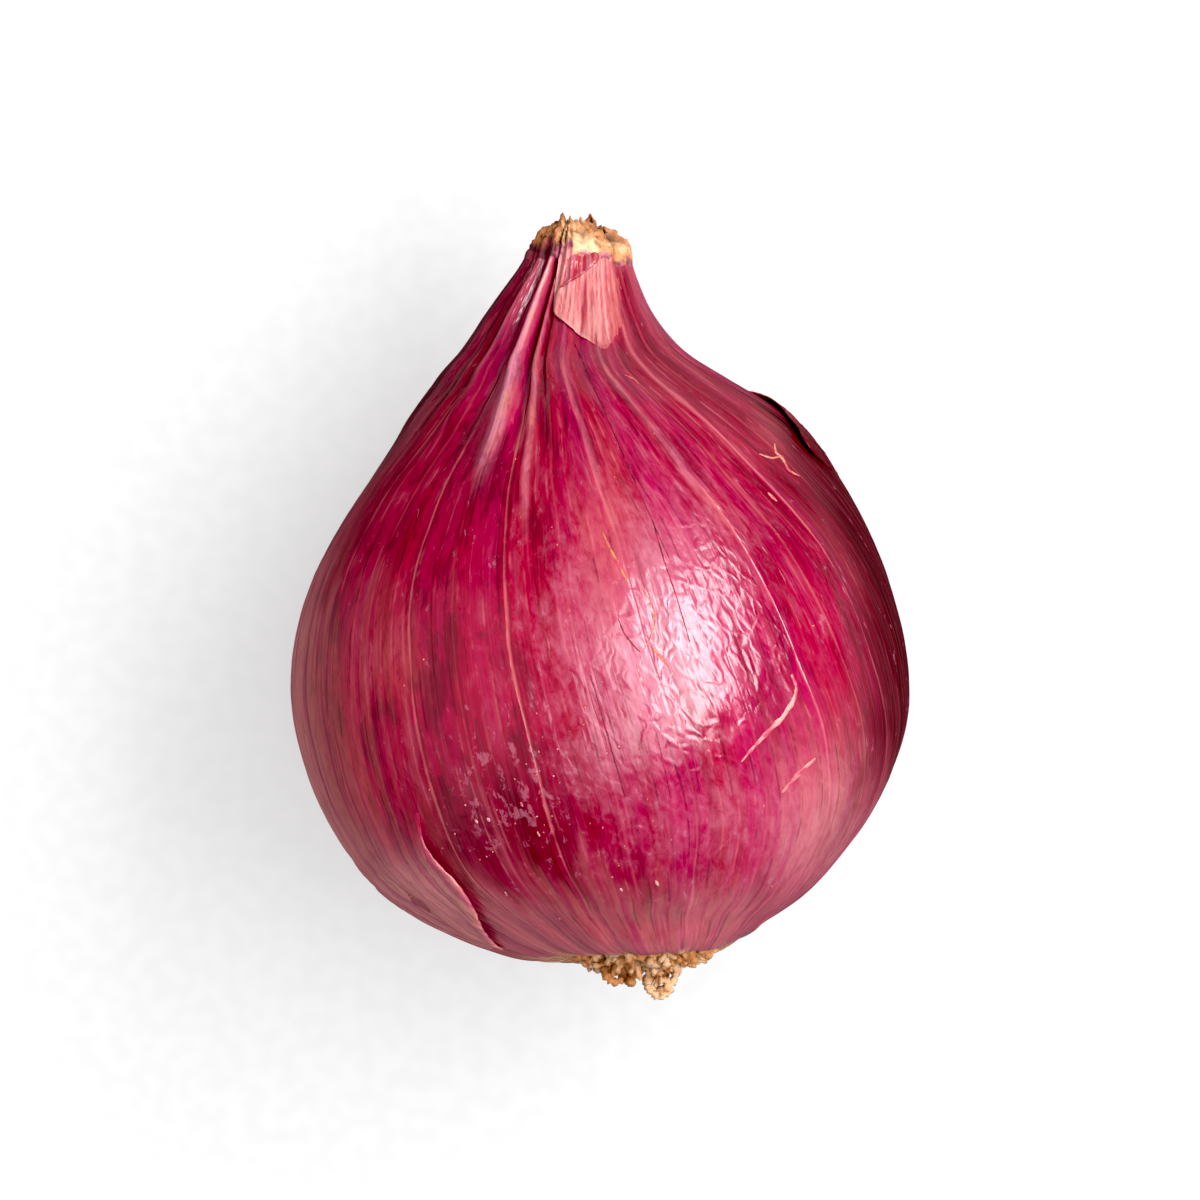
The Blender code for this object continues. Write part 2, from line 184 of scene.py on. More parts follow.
class Profile:
    """The bulb's outline by distance along the line itself, in mm."""

    def __init__(self):
        line = smooth_line(PROFILE_MM)
        line[:, 1] = np.maximum(line[:, 1], 0.0)
        self.along, self.radius = line[:, 0], line[:, 1]
        steps = np.hypot(*np.diff(line, axis=0).T)
        self.arc = np.concatenate([[0.0], np.cumsum(steps)])
        slope = np.gradient(line, axis=0)
        slope /= np.linalg.norm(slope, axis=1)[:, None]
        self.normal_along, self.normal_out = -slope[:, 1], slope[:, 0]
        self.length = self.arc[-1]
        self.root_rim = int(np.argmin(self.along[: len(line) // 2]))
        self.neck_rim = int(np.argmax(self.along))

    def at(self, arc):
        """The distance along, the radius and the normal's two parts at an arc."""
        columns = self.along, self.radius, self.normal_along, self.normal_out
        return [np.interp(arc, self.arc, column) for column in columns]

    def arc_at(self, along):
        """The arc of a point of the outer skin, from its distance along the bulb."""
        part = slice(self.root_rim, self.neck_rim + 1)
        return np.interp(along, self.along[part], self.arc[part])


PROFILE = Profile()
AXIS = smooth_line(AXIS_MM)


def axis_x(along):
    """Where the bent axis is on X, in mm."""
    return np.interp(along, AXIS[:, 0], AXIS[:, 1])


def bulb_to_row():
    height = BULB_OVAL * PROFILE.radius.max() - FLAT_DEPTH
    down = REST_ALONG * math.sin(NECK_DOWN)
    place = Matrix.Translation((0.0, -REST_ALONG * math.cos(NECK_DOWN), height + down))
    return np.array(place @ Matrix.Rotation(-math.pi / 2 - NECK_DOWN, 4, "X"))


BULB_TO_ROW = bulb_to_row()


def to_row(points_mm):
    """Points of the bulb's own frame, in mm, as points of the row's frame, in metres."""
    return (points_mm @ BULB_TO_ROW[:3, :3].T + BULB_TO_ROW[:3, 3]) * MM


def flow_angle(around, along):
    """The angle of the flow line through a point of the skin, in degrees, as read at the girth.
    The fibres turn less on the hidden side."""
    turn, bunch = lookup(FLOW, along)
    turn = turn * (0.35 + 0.65 * ease(-0.75, 0.05, np.sin(np.radians(around))))
    flow = around - turn
    for _ in range(40):
        flow = 0.5 * flow + 0.5 * (around - turn + bunch * np.sin(np.radians(flow - 90.0)))
    return flow


def fractal(places, octaves, offset, shift=(1.0, 2.7, -1.3)):
    """Smooth noise about 0 at each place."""
    shift = Vector([offset * part for part in shift])
    return np.array([noise.fractal(Vector(p) + shift, 0.9, 2.1, octaves) for p in places])


def creases(places, octaves, offset):
    """Noise from 0 to about 1 with sharp ridges."""
    return 1.0 - 2.0 * np.abs(fractal(places, octaves, offset, (1.0, -1.9, 0.7)))


def vein_table():
    """The veins' flow angles, once round, and their strengths."""
    hidden = np.linspace(TOP_VEINS[-1][0], 360 + TOP_VEINS[0][0], HIDDEN_VEINS + 2)[1:-1]
    draw = random.Random(SEED)
    veins = TOP_VEINS + [(angle, draw.choice((0.3, 0.5, 0.9))) for angle in hidden]
    veins.append((360 + TOP_VEINS[0][0], TOP_VEINS[0][1]))
    return np.array(veins).T


VEIN_ANGLES, VEIN_STRENGTHS = vein_table()


class Skin:
    """Places on the skin: where they are, the flow line through them, and what they look like."""

    def __init__(self, around, arc):
        self.around, self.arc = np.asarray(around, float), np.asarray(arc, float)
        self.along, self.radius, self.normal_along, self.normal_out = PROFILE.at(self.arc)
        self.flow = flow_angle(self.around, self.along)
        turn = np.radians(self.flow)
        self.places = np.stack([GIRTH_RADIUS * np.cos(turn), GIRTH_RADIUS * np.sin(turn), self.arc], axis=1)
        self.fullness = self.radius / GIRTH_RADIUS

    def strand(self):
        """The vein count at each place: a vein runs where it is a whole number."""
        wander = 0.5 * fractal(self.places * (0.12, 0.12, 0.05), 2, 3.0)
        wander += 0.22 * fractal(self.places * (0.6, 0.6, 0.16), 2, 9.0)
        flow = (self.flow + 2.2 * wander - VEIN_ANGLES[0]) % 360.0 + VEIN_ANGLES[0]
        return np.interp(flow, VEIN_ANGLES, np.arange(len(VEIN_ANGLES)))

    def strands_per_mm(self):
        """How many veins cross a millimetre of the skin."""
        spacing = np.interp(self.flow % 360.0, VEIN_ANGLES, np.gradient(VEIN_ANGLES))
        bunch = lookup(FLOW, self.along)[1]
        spread = 1.0 - np.radians(bunch) * np.cos(np.radians(self.flow - 90.0))
        return 1.0 / (spacing * spread * np.radians(np.maximum(self.radius, 0.8)))

    def relief(self):
        """Height over the turned profile, in mm."""
        flow, around = np.radians(self.flow), np.radians(self.around)
        neck = ease(FOLDS_FROM, FOLDS_TO, self.along)
        height = np.zeros_like(self.along)
        for at, tall, wide in NECK_FOLDS:
            height += neck * tall * bump(0.0, wide, turn_between(self.flow, at))
        hidden = ease(150, 175, self.flow % 360.0) * (1 - ease(335, 359, self.flow % 360.0))
        height += neck * hidden * 0.22 * np.cos(flow * 17 + 1.0)
        root = 1.0 - ease(0.0, 5.5, self.along)
        outer = ease(3.0, 6.0, self.radius)
        height += root * outer * 0.05 * np.cos(flow * 23 + 2.0 * np.sin(flow * 3))
        body = (1.0 - neck) * (1.0 - root)
        height += body * 0.05 * (np.cos(9 * around + 0.8) + 0.7 * np.cos(14 * around + 2.0))
        height += 0.07 * fractal(self.places * (0.42, 0.42, 0.03), 3, 1.0) * self.fullness
        height += 0.06 * fractal(self.places * (0.20, 0.20, 0.16), 2, 27.0) * self.fullness
        return height + self.crinkle()

    def crinkle(self):
        """Small creases of the thin outer skin."""
        patchy = ease(-0.15, 0.35, fractal(self.places * (0.12, 0.12, 0.07), 2, 5.0))
        lit = self.patch(5.5, 17.5, 5.0, 8.0)
        long_ridges = creases(self.places * (0.75, 0.75, 0.33), 3, 4.0)
        net = creases(self.places * (0.80, 0.80, 0.62), 2, 44.0)
        return self.fullness * (0.04 * (0.35 + 0.65 * patchy) * long_ridges + 0.05 * lit * net)

    def point(self, lift=0.0):
        """Places at this height over the skin, in the bulb's own frame, in mm."""
        share = np.minimum(1.0, self.radius / 2.0)
        height = lift + share * self.relief()
        at = np.radians(self.around)
        lobes = sum(size * np.sin(count * at) for count, size in LOBES)
        out = self.radius * (1.0 + lobes) + height * self.normal_out
        along = self.along + height * self.normal_along
        x = axis_x(along) + out * np.cos(at)
        x -= NECK_TUCK * np.minimum(np.cos(at), 0.0) * ease(NECK_TUCK_FROM, NECK_TUCK_TO, self.along)
        end = along < 20
        x += ROOT_ASIDE * (1 - ease(*ROOT_ASIDE_WITHIN, self.radius)) * end
        near_root = (1 - ease(*ROOT_TILT_WITHIN, self.radius)) * end
        curled = ROOT_CURL * np.maximum(x - ROOT_CURL_FROM, 0.0) ** 2
        along += near_root * (root_tilt(x) + curled - ROOT_PUSHED)
        return np.stack([x, -BULB_OVAL * out * np.sin(at), along], axis=1)

    def patch(self, x, along, wide, tall):
        """A soft round patch as seen from above: its middle and half sizes in mm, along being level."""
        turn = np.radians(self.around)
        across = axis_x(self.along) + self.radius * np.cos(turn)
        up = BULB_OVAL * self.radius * np.sin(turn)
        level = self.along * math.cos(NECK_DOWN) + up * math.sin(NECK_DOWN)
        upper = ease(-0.15, 0.1, np.sin(turn))
        return upper * np.exp(-(((across - x) / wide) ** 2) - ((level - along) / tall) ** 2)

    def strongest(self, region, least):
        """The strongest of a region's patches at each place, and nowhere less than the least."""
        for strength, *place in PATCHES[region]:
            least = np.maximum(least, strength * self.patch(*place))
        return least

    def light_and_shade_strokes(self):
        """How pale the neck's strokes and its painted ridge highlight make each place, and how dark the
        painted shade in its furrows makes it.
        """
        pale_dark = [np.zeros_like(self.along), np.zeros_like(self.along)]
        for at, wide, start, end, strength in NECK_STROKES_LIGHT_AND_SHADE:
            ends = ease(start, start + 7.0, self.along) * ease(end, end - 1.2, self.along)
            stroke = abs(strength) * ends * bump(0.0, wide, turn_between(self.flow, at))
            kind = int(strength < 0)
            pale_dark[kind] = np.maximum(pale_dark[kind], stroke)
        return pale_dark

    def maroon_and_shade(self, ragged):
        """The darker red of the right side, which is painted shade, and of the neck's left edge."""
        right = ease(45, 23, self.around) * ease(-85, 5, self.around + 14.0 * ragged)
        right *= ease(4, 16, self.along + 2.5 * ragged) * ease(37, 27, self.along + 2.0 * ragged)
        left = 0.75 * bump(0, 26, turn_between(self.around, 176)) * ease(25, 32, self.along)
        return np.maximum(right, left)

    def dry(self, ragged):
        """The dried skin at the neck's end and round the roots."""
        right = ease(95, 50, self.around) * ease(-60, 0, self.around)
        neck = ease(41.0, 41.7, self.along + 0.6 * ragged + 0.5 * right)
        root = 1.0 - ease(4.6, 6.6, self.radius + 0.9 * ragged + 10.0 * (self.along > 5.0))
        return np.maximum(neck, root)

    def looks(self):
        """The skin's regions, each a number from 0 to 1."""
        ragged = 1.1 * fractal(self.places * (0.5, 0.5, 0.2), 3, 12.0)
        # The left side's duller outer skin, made paler along the left edge partly as a painted reflection
        # haze
        left = bump(0, 34, turn_between(self.around, 182)) * ease(1, 6, self.along)
        left *= 1 - ease(18, 24, self.along + 2 * ragged)
        low = 1.0 - ease(0.8, 6.0, self.along + 2 * ragged)
        vivid = bump(0, 25, turn_between(self.around, 142))
        # pale holds the neck's ridge strokes, partly a painted highlight; dark is the painted shade in its
        # furrows
        pale, dark = self.light_and_shade_strokes()
        return {
            "dry": self.dry(ragged),
            "matte": self.strongest("matte", np.maximum(0.95 * left, 0.36 * low)),
            "dark_and_shade": self.strongest("dark_and_shade", dark),
            "vivid": vivid * ease(4, 9, self.along) * ease(36, 28, self.along),
            "rosy_and_glow": self.strongest("rosy_and_glow", 0.0),
            "salmon": self.strongest("salmon", 0.35 * bump(0, 30, turn_between(self.around, 250))),
            "flaky": self.strongest("flaky", 0.18),
            "crinkled": self.strongest("crinkled", 0.3),
            "maroon_and_shade": self.maroon_and_shade(ragged),
            "pale": np.maximum(pale, 0.28 * ease(32.0, 38.0, self.along) * (1.0 - dark)),
            "gap": bump(23.0, 5.0, self.around) * bump(30.9, 1.5, self.along),
        }


def root_tilt(x):
    """How far the root end is lifted at its right."""
    return ROOT_TILT * np.maximum(x - ROOT_TILT_FROM, 0.0)


def mesh_object(name, points, faces, attributes, uv=None):
    """A smooth piece from points in metres, with one number or vector a point in each attribute."""
    mesh = bpy.data.meshes.new(name)
    mesh.from_pydata(points.tolist(), [], faces)
    for key, values in attributes.items():
        values = np.asarray(values, np.float32)
        kind, slot = ("FLOAT", "value") if values.ndim == 1 else ("FLOAT_VECTOR", "vector")
        mesh.attributes.new(key, kind, "POINT").data.foreach_set(slot, values.ravel())
    if uv is not None:
        corners = np.empty(len(mesh.loops), np.int32)
        mesh.loops.foreach_get("vertex_index", corners)
        layer = mesh.uv_layers.new(name="strands")
        layer.data.foreach_set("uv", np.asarray(uv(corners), np.float32).ravel())
    mesh.shade_smooth()
    piece = bpy.data.objects.new(name, mesh)
    bpy.context.scene.collection.objects.link(piece)
    return piece


def dress(piece, material, slot, *nodes):
    """Gives the piece its material, hangs it under the root body and hides the imported parts that it stands
    in for.
    """
    piece.data.materials.append(material)
    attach(piece, "root")
    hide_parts(*nodes)
    return piece


class Graph:
    """A material's nodes, built by short calls. A factor may be a number, a node's output, the name of one
    of the noises or of a mesh attribute, or a tuple of what between is called with."""

    def __init__(self, name, noises, flow=False):
        self.material = bpy.data.materials.new(name)
        self.material.use_nodes = True
        self.tree = self.material.node_tree
        self.shader = self.tree.nodes["Principled BSDF"]
        if flow:
            self.place = self.attribute("flow", "Vector")
        else:
            self.place = self.node("TexCoord", {}).outputs["Object"]
        self.fields = {key: self.noise(*settings) for key, settings in noises.items()}

    def set(self, socket, value):
        if isinstance(value, bpy.types.NodeSocket):
            self.tree.links.new(value, socket)
        else:
            socket.default_value = value

    def node(self, kind, inputs, **settings):
        made = self.tree.nodes.new("ShaderNode" + kind)
        for key, value in settings.items():
            setattr(made, key, value)
        for key, value in inputs.items():
            self.set(made.inputs[key], value)
        return made

    def attribute(self, name, output="Fac"):
        return self.node("Attribute", {}, attribute_name=name).outputs[output]

    def factor(self, value):
        """The number or the node's output that a factor stands for."""
        if isinstance(value, tuple):
            return self.between(*value)
        if not isinstance(value, str):
            return value
        if value not in self.fields:
            self.fields[value] = self.attribute(value)
        return self.fields[value]

    def math(self, operation, *factors, clamp=False):
        inputs = {number: self.factor(factor) for number, factor in enumerate(factors)}
        return self.node("Math", inputs, operation=operation, use_clamp=clamp).outputs[0]

    def joined(self, operation, first, *others):
        for other in others:
            first = self.math(operation, first, other)
        return first

    def product(self, *factors):
        return self.joined("MULTIPLY", *factors)

    def total(self, *terms):
        return self.joined("ADD", *terms)

    def highest(self, *values):
        return self.joined("MAXIMUM", *values)

    def stretch(self, vector, by):
        return self.node("VectorMath", {0: vector, 1: by}, operation="MULTIPLY").outputs[0]

    def noise(self, by, detail, roughness=0.5, distortion=0.0, output="Fac"):
        inputs = {"Vector": self.stretch(self.place, by), "Scale": 1.0, "Detail": detail}
        inputs |= {"Roughness": roughness, "Distortion": distortion}
        return self.node("TexNoise", inputs).outputs[output]

    def between(self, value, low, high, to_low=0.0, to_high=1.0):
        """Eases from to_low to to_high as the value goes from low to high."""
        inputs = {"Value": self.factor(value), "From Min": low, "From Max": high}
        inputs |= {"To Min": to_low, "To Max": to_high}
        return self.node("MapRange", inputs, interpolation_type="SMOOTHSTEP").outputs[0]

    def mix(self, share, a, b):
        made = self.tree.nodes.new("ShaderNodeMix")
        made.data_type = "RGBA"
        for key, value in ((0, self.factor(share)), (6, a), (7, b)):
            self.set(made.inputs[key], value)
        return made.outputs[2]

    def layered(self, colour, *layers):
        """The colour with each layer laid over it in turn: a layer is a colour and its share's factors."""
        for tint, *factors in layers:
            colour = self.mix(self.product(*factors), colour, tint)
        return colour

    def finish(self, colour, roughness, height, swing, **constants):
        """Joins the shader up. swing is the height's full swing, in metres."""
        self.set(self.shader.inputs["Base Color"], colour)
        self.set(self.shader.inputs["Roughness"], self.factor(roughness))
        inputs = {"Height": self.factor(height), "Distance": swing, "Strength": 1.0}
        raised = self.node("Bump", inputs).outputs["Normal"]
        self.set(self.shader.inputs["Normal"], raised)
        self.set(self.shader.inputs["Coat Normal"], raised)
        for key, value in constants.items():
            self.shader.inputs[key.replace("_", " ")].default_value = value
        return self.material


def rgb(red, green, blue):
    """A colour given as on a screen, in 0 to 255, as the shader's linear numbers."""
    shares = [c / 255 for c in (red, green, blue)]
    return (*[((c + 0.055) / 1.055) ** 2.4 if c > 0.04045 else c / 12.92 for c in shares], 1.0)


CRIMSON_DARK = rgb(72, 0, 18)
CRIMSON = rgb(132, 0, 36)
MAGENTA = rgb(140, 2, 61)
ROSE = rgb(166, 14, 70)
VIVID = rgb(148, 0, 45)
PINK = rgb(164, 90, 110)
MAUVE = rgb(164, 76, 100)
SALMON = rgb(164, 66, 66)
SALMON_PALE = rgb(196, 130, 122)
PAPER_PINK = rgb(204, 120, 144)
DUSTY_ROSE = rgb(218, 142, 132)
MAROON = rgb(54, 4, 8)
STRAW = rgb(186, 96, 98)
LINT = rgb(196, 150, 150)
TAN = rgb(184, 122, 76)
TAN_PALE = rgb(212, 174, 136)
BROWN = rgb(84, 38, 16)
ROOT_BROWN = rgb(178, 116, 64)
NECK_BROWN = rgb(134, 66, 34)
HOLLOW_SHADE_BLACK = rgb(26, 8, 6)
GAP_SHADE_DARK = rgb(50, 12, 12)
# The noises of each material: scale, detail, roughness and distortion. The skin's are in mm along and across
# its flow lines, which makes them long streaks, and the others are in metres.
SKIN_NOISES = {
    "wide": ((0.30, 0.30, 0.015), 4.0, 0.55),
    "fine": ((1.4, 1.4, 0.07), 2.5, 0.6),
    "hair": ((6.0, 6.0, 0.20), 2.0, 0.6),
    "mottle": ((1.5, 1.5, 0.9), 4.0, 0.7, 0.4),
    "cloud": ((0.55, 0.55, 0.22), 4.0, 0.65, 0.5),
}
ROOT_NOISES = {"fine": ((2200, 2200, 2200), 4.0, 0.6), "blotch": ((500, 500, 500), 3.0, 0.6)}
NECK_NOISES = {"fibre": ((1700, 650, 1700), 4.0, 0.6), "blotch": ((700, 700, 700), 4.0, 0.65)}
MARK_NOISES = {"grain": ((1700, 1700, 1700), 3.0, 0.6)}
FLOOR_NOISES = {"speck": ((900, 900, 900), 0.0)}
# The bumps' full swings, in metres
SKIN_BUMP, ROOT_BUMP, NECK_BUMP, MARK_BUMP = 0.00009, 0.00012, 0.00010, 0.00004


def skin_material():
    g = Graph("shallot_skin", SKIN_NOISES, flow=True)
    g.fields["bunched"] = g.between("per_mm", 0.4, 1.2)
    g.fields["loose"] = g.between("bunched", 0.0, 1.0, 1.0, 0.2)
    veins, dark_lines, ridge = skin_veins(g)
    dry = g.math("ADD", "dry", ("mottle", 0.3, 0.7, -0.22, 0.22), clamp=True)
    g.fields |= {
        "plain": g.between("rosy_and_glow", 0.5, 0.0),
        "rosy_and_glow_spots": g.total("rosy_and_glow", ("mottle", 0.25, 0.75, -0.25, 0.25)),
        "papery": g.product("pale", ("fine", 0.3, 0.6, 0.75, 1.0), ("mottle", 0.3, 0.6, 0.65, 1.0)),
        "pale_grain": g.total("pale", "fine"),
        "dulled_and_haze": g.product("matte", ("mottle", 0.3, 0.6, 0.8, 1.0), ("fine", 0.3, 0.55, 0.62, 1.0)),
        "flakes": g.math("MULTIPLY_ADD", "flaky", 0.13, "mottle"),
        "dried": g.product(dry, ("dry", 0.0, 0.15)),
    }
    paper = g.mix(g.highest(("cloud", 0.4, 0.6), "salmon"), PAPER_PINK, SALMON_PALE)
    tan = g.layered(TAN, (TAN_PALE, ("fine", 0.35, 0.65)), (BROWN, ("mottle", 0.55, 0.35)))
    colour = g.layered(
        CRIMSON,
        (MAGENTA, ("wide", 0.36, 0.62)),
        (VIVID, "vivid", 0.9),
        (ROSE, "loose", ("fine", 0.42, 0.78, 0.0, 0.30)),
        (CRIMSON_DARK, "loose", ("fine", 0.46, 0.26, 0.0, 0.28)),
        (CRIMSON_DARK, "plain", ("mottle", 0.48, 0.30, 0.0, 0.35)),
        (CRIMSON_DARK, "plain", ("cloud", 0.50, 0.34, 0.0, 0.60)),
        (MAUVE, ("cloud", 0.52, 0.68, 0.0, 0.26)),
        # Pinker patches, partly a painted glow round the highlight
        (g.mix(("wide", 0.4, 0.6), PINK, MAUVE), ("rosy_and_glow_spots", 0.1, 0.95), ("fine", 0.25, 0.6, 0.65, 1.0)),
        # Salmon, partly a painted sheen down the top middle
        (SALMON, "salmon", ("mottle", 0.3, 0.6, 0.3, 1.0), ("hair", 0.3, 0.6, 0.5, 1.0)),
        # Painted shade in the neck's furrows and on the right side, and darker crimson at the lower left
        (CRIMSON_DARK, "dark_and_shade", ("fine", 0.25, 0.65, 0.95, 0.6)),
        (paper, ("papery", 0.0, 1.0)),
        (LINT, ("pale_grain", 1.5, 2.9, 0.0, 0.8)),
        # Dusty rose of the duller outer skin, partly a painted reflection haze at the left edge
        (g.mix(("fine", 0.35, 0.65), DUSTY_ROSE, MAUVE), "dulled_and_haze"),
        # Maroon: painted shade over the right side, and the darker red of the neck's left edge
        (MAROON, "maroon_and_shade", ("fine", 0.3, 0.7, 1.0, 0.8)),
        # Painted shade in the gap under the shoulder's loose edge
        (GAP_SHADE_DARK, "gap"),
        (PINK, ("flakes", 0.66, 0.73, 0.0, 0.55)),
        (CRIMSON_DARK, dark_lines, "loose", 0.6),
        (STRAW, veins, ("bunched", 0.0, 1.0, 1.0, 0.6), ("maroon_and_shade", 0.0, 1.0, 0.65, 0.3)),
        (PAPER_PINK, "loose", ("hair", 0.45, 0.75, 0.0, 0.06)),
        (tan, "dried"),
    )
    roughness = g.total(("mottle", 0.3, 0.7, 0.36, 0.50), g.product("dulled_and_haze", 0.15), g.product("dried", 0.3))
    height = g.math("MULTIPLY_ADD", g.product("hair", "loose"), 0.16, g.product("fine", "loose", 0.30))
    height = g.total(g.math("MULTIPLY_ADD", ridge, 0.25, height), skin_crinkles(g))
    glossless = g.highest("maroon_and_shade", "vivid", g.product("dark_and_shade", 0.8))
    g.set(g.shader.inputs["Coat Weight"], g.between(glossless, 0.0, 1.0, 0.135, 0.04))
    constants = {"Specular_IOR_Level": 0.0, "Coat_IOR": 4.0, "Coat_Roughness": 0.22}
    return g.finish(colour, roughness, height, SKIN_BUMP, **constants)


def skin_crinkles(g):
    """The fine net of creases in the outermost skin, as a height."""
    warp = g.stretch(g.noise((0.55, 0.55, 0.4), 2.0, output="Color"), (2.6, 2.6, 2.6))
    bent = g.node("VectorMath", {0: g.place, 1: warp}, operation="ADD").outputs[0]
    inputs = {"Vector": g.stretch(bent, (1.0, 1.0, 0.75)), "Scale": 1.0}
    cells = g.node("TexVoronoi", inputs, feature="DISTANCE_TO_EDGE").outputs["Distance"]
    return g.product((cells, 0.0, 0.30, 0.0, 0.42), "crinkled")


def skin_veins(g):
    """How pale the veins make a place, how dark its thin lines and the painted shadow beside each vein are,
    and how high the veins stand.
    """
    strands = g.node("UVMap", {}, uv_map="strands").outputs[0]
    count = g.node("SeparateXYZ", {0: strands}).outputs[0]

    def line(value, width):
        """1 where the value is a whole number, and 0 from this far off it."""
        off = g.math("SUBTRACT", g.math("FRACT", g.total(value, 0.5)), 0.5)
        return g.math("SUBTRACT", 1.0, g.between(g.math("ABSOLUTE", off), 0.0, width))

    def faint_lines(share, spread, broken, low, high, strength):
        """Thinner broken lines, so many to a main vein."""
        several = g.math("MULTIPLY_ADD", count, share, spread)
        return g.product(line(several, g.product("per_mm", 0.11 * share)), (broken, low, high, 0.0, strength))

    ridge = g.product(line(count, g.product("per_mm", ("cloud", 0.35, 0.65, 0.09, 0.20))), "vein")
    main = g.product(ridge, ("cloud", 0.36, 0.56, 0.35, 1.0))
    beside = g.math("MULTIPLY_ADD", "per_mm", 0.17, count)
    shadow = g.product(line(beside, g.product("per_mm", 0.11)), "vein", 0.45)
    pale = g.product(faint_lines(4.0, 0.37, "cloud", 0.50, 0.64, 0.55), "loose")
    dark = faint_lines(3.0, 1.61, "cloud", 0.52, 0.44, 0.9)
    finest = faint_lines(7.0, 2.43, "hair", 0.50, 0.62, 0.35)
    return g.highest(main, pale), g.highest(dark, finest, shadow), ridge


def dry_root_material():
    g = Graph("dried_roots", ROOT_NOISES)
    colour = g.layered(
        ROOT_BROWN,
        (TAN, ("shade", 0.0, 1.0)),
        (TAN_PALE, ("blotch", 0.42, 0.62, 0.0, 0.9)),
        (BROWN, ("fine", 0.50, 0.30, 0.0, 0.8)),
        # Painted shade at the roots' feet and over the plate between them
        (BROWN, ("depth", 0.6, 0.1, 0.0, 0.95)),
    )
    height = g.total("fine", g.product("blotch", 0.6))
    return g.finish(colour, ("fine", 0.3, 0.7, 0.70, 0.92), height, ROOT_BUMP)


def dry_neck_material():
    g = Graph("dried_neck", NECK_NOISES)
    tone = g.math("ADD", "tone", ("blotch", 0.25, 0.75, -0.35, 0.35), clamp=True)
    red = g.mix(("blotch", 0.4, 0.6), CRIMSON_DARK, g.mix("tone", CRIMSON, PAPER_PINK))
    colour = g.layered(
        NECK_BROWN,
        (TAN, (tone, 0.0, 0.55)),
        (TAN_PALE, (tone, 0.5, 1.0)),
        (BROWN, ("fibre", 0.50, 0.30, 0.0, 0.6)),
        # Painted shade where the crumpled paper is pushed in
        (BROWN, ("fold", 0.70, 1.15, 0.0, 0.85)),
        (red, "fresh"),
        # Painted shade in the hollow at the neck's end
        (HOLLOW_SHADE_BLACK, "hole"),
    )
    height = g.total("fibre", g.product("blotch", 0.7))
    return g.finish(colour, ("blotch", 0.3, 0.7, 0.62, 0.85), height, NECK_BUMP)


def mark_material():
    g = Graph("skin_mark", MARK_NOISES)
    colour = g.layered(
        CRIMSON_DARK,
        (TAN, ("tone", 0.0, 0.33)),
        (SALMON_PALE, ("tone", 0.33, 0.66)),
        (LINT, ("tone", 0.66, 1.0)),
        (ROSE, ("grain", 0.42, 0.62, 0.0, 0.85)),
    )
    return g.finish(colour, ("grain", 0.3, 0.7, 0.45, 0.6), "grain", MARK_BUMP)


def row_positions():
    """Arcs of the bulb's rings: closer together where the bulb is narrow."""
    fine = np.linspace(0.0, PROFILE.length, 4000)
    radius = PROFILE.at(fine)[1]
    weight = 1.0 / (0.42 + 0.58 * radius / GIRTH_RADIUS)
    reach = np.concatenate([[0.0], np.cumsum((weight[1:] + weight[:-1]) / 2)])
    return np.interp(np.linspace(0.0, reach[-1], BULB_ROWS), reach, fine)


def skin_attributes(skin):
    strand = skin.strand()
    nearest = np.clip(np.round(strand).astype(int), 0, len(VEIN_STRENGTHS) - 1)
    vein = VEIN_STRENGTHS[nearest] * ease(0.5, 3.0, skin.along)
    made = {"flow": skin.places, "vein": vein, "per_mm": skin.strands_per_mm()} | skin.looks()
    return made, strand


def ring_faces(rings, spokes):
    """Quads between closed rings of points, ring by ring."""
    at = np.arange(rings * spokes).reshape(rings, spokes)
    after = np.roll(at, -1, axis=1)
    quads = np.stack([at[:-1], after[:-1], after[1:], at[1:]], axis=-1)
    return quads.reshape(-1, 4).tolist()


def bulb_skin(material):
    arcs = row_positions()[1:-1]
    columns = np.arange(BULB_COLUMNS) * 360.0 / BULB_COLUMNS - 90.0
    around, arc = np.tile(columns, len(arcs)), np.repeat(arcs, BULB_COLUMNS)
    around, arc = np.append(around, [0.0, 0.0]), np.append(arc, [0.0, PROFILE.length])
    skin = Skin(around, arc)
    points = to_row(skin.point())
    points[:, 2] = np.maximum(points[:, 2], 0.0)
    root_pole, neck_pole = len(points) - 2, len(points) - 1
    faces = ring_faces(len(arcs), BULB_COLUMNS)
    last = (len(arcs) - 1) * BULB_COLUMNS
    for i in range(BULB_COLUMNS):
        j = (i + 1) % BULB_COLUMNS
        faces += [(root_pole, j, i), (last + i, last + j, neck_pole)]
    attributes, strand = skin_attributes(skin)
    corners_of_seam = seam_corners(faces, strand)

    def strands(corners):
        return np.stack([strand[corners] + corners_of_seam, skin.arc[corners]], axis=1)

    return dress(mesh_object("shallot_skin", points, faces, attributes, strands), material, "skin", "bulb")


def seam_corners(faces, strand):
    """What to add at each face corner, so that the strand count doesn't fall back across its seam."""
    extra = []
    whole = len(VEIN_ANGLES) - 1
    for face in faces:
        counts = strand[list(face)]
        wraps = counts.max() - counts.min() > whole / 2
        extra.extend(whole * (counts < whole / 2) if wraps else [0.0] * len(face))
    return np.array(extra)


def grid_faces(rows, columns, first=0):
    """Quads between the points of a grid, row by row."""
    at = first + np.arange(rows * columns).reshape(rows, columns)
    quads = np.stack([at[:-1, :-1], at[:-1, 1:], at[1:, 1:], at[1:, :-1]], axis=-1)
    return quads.reshape(-1, 4).tolist()


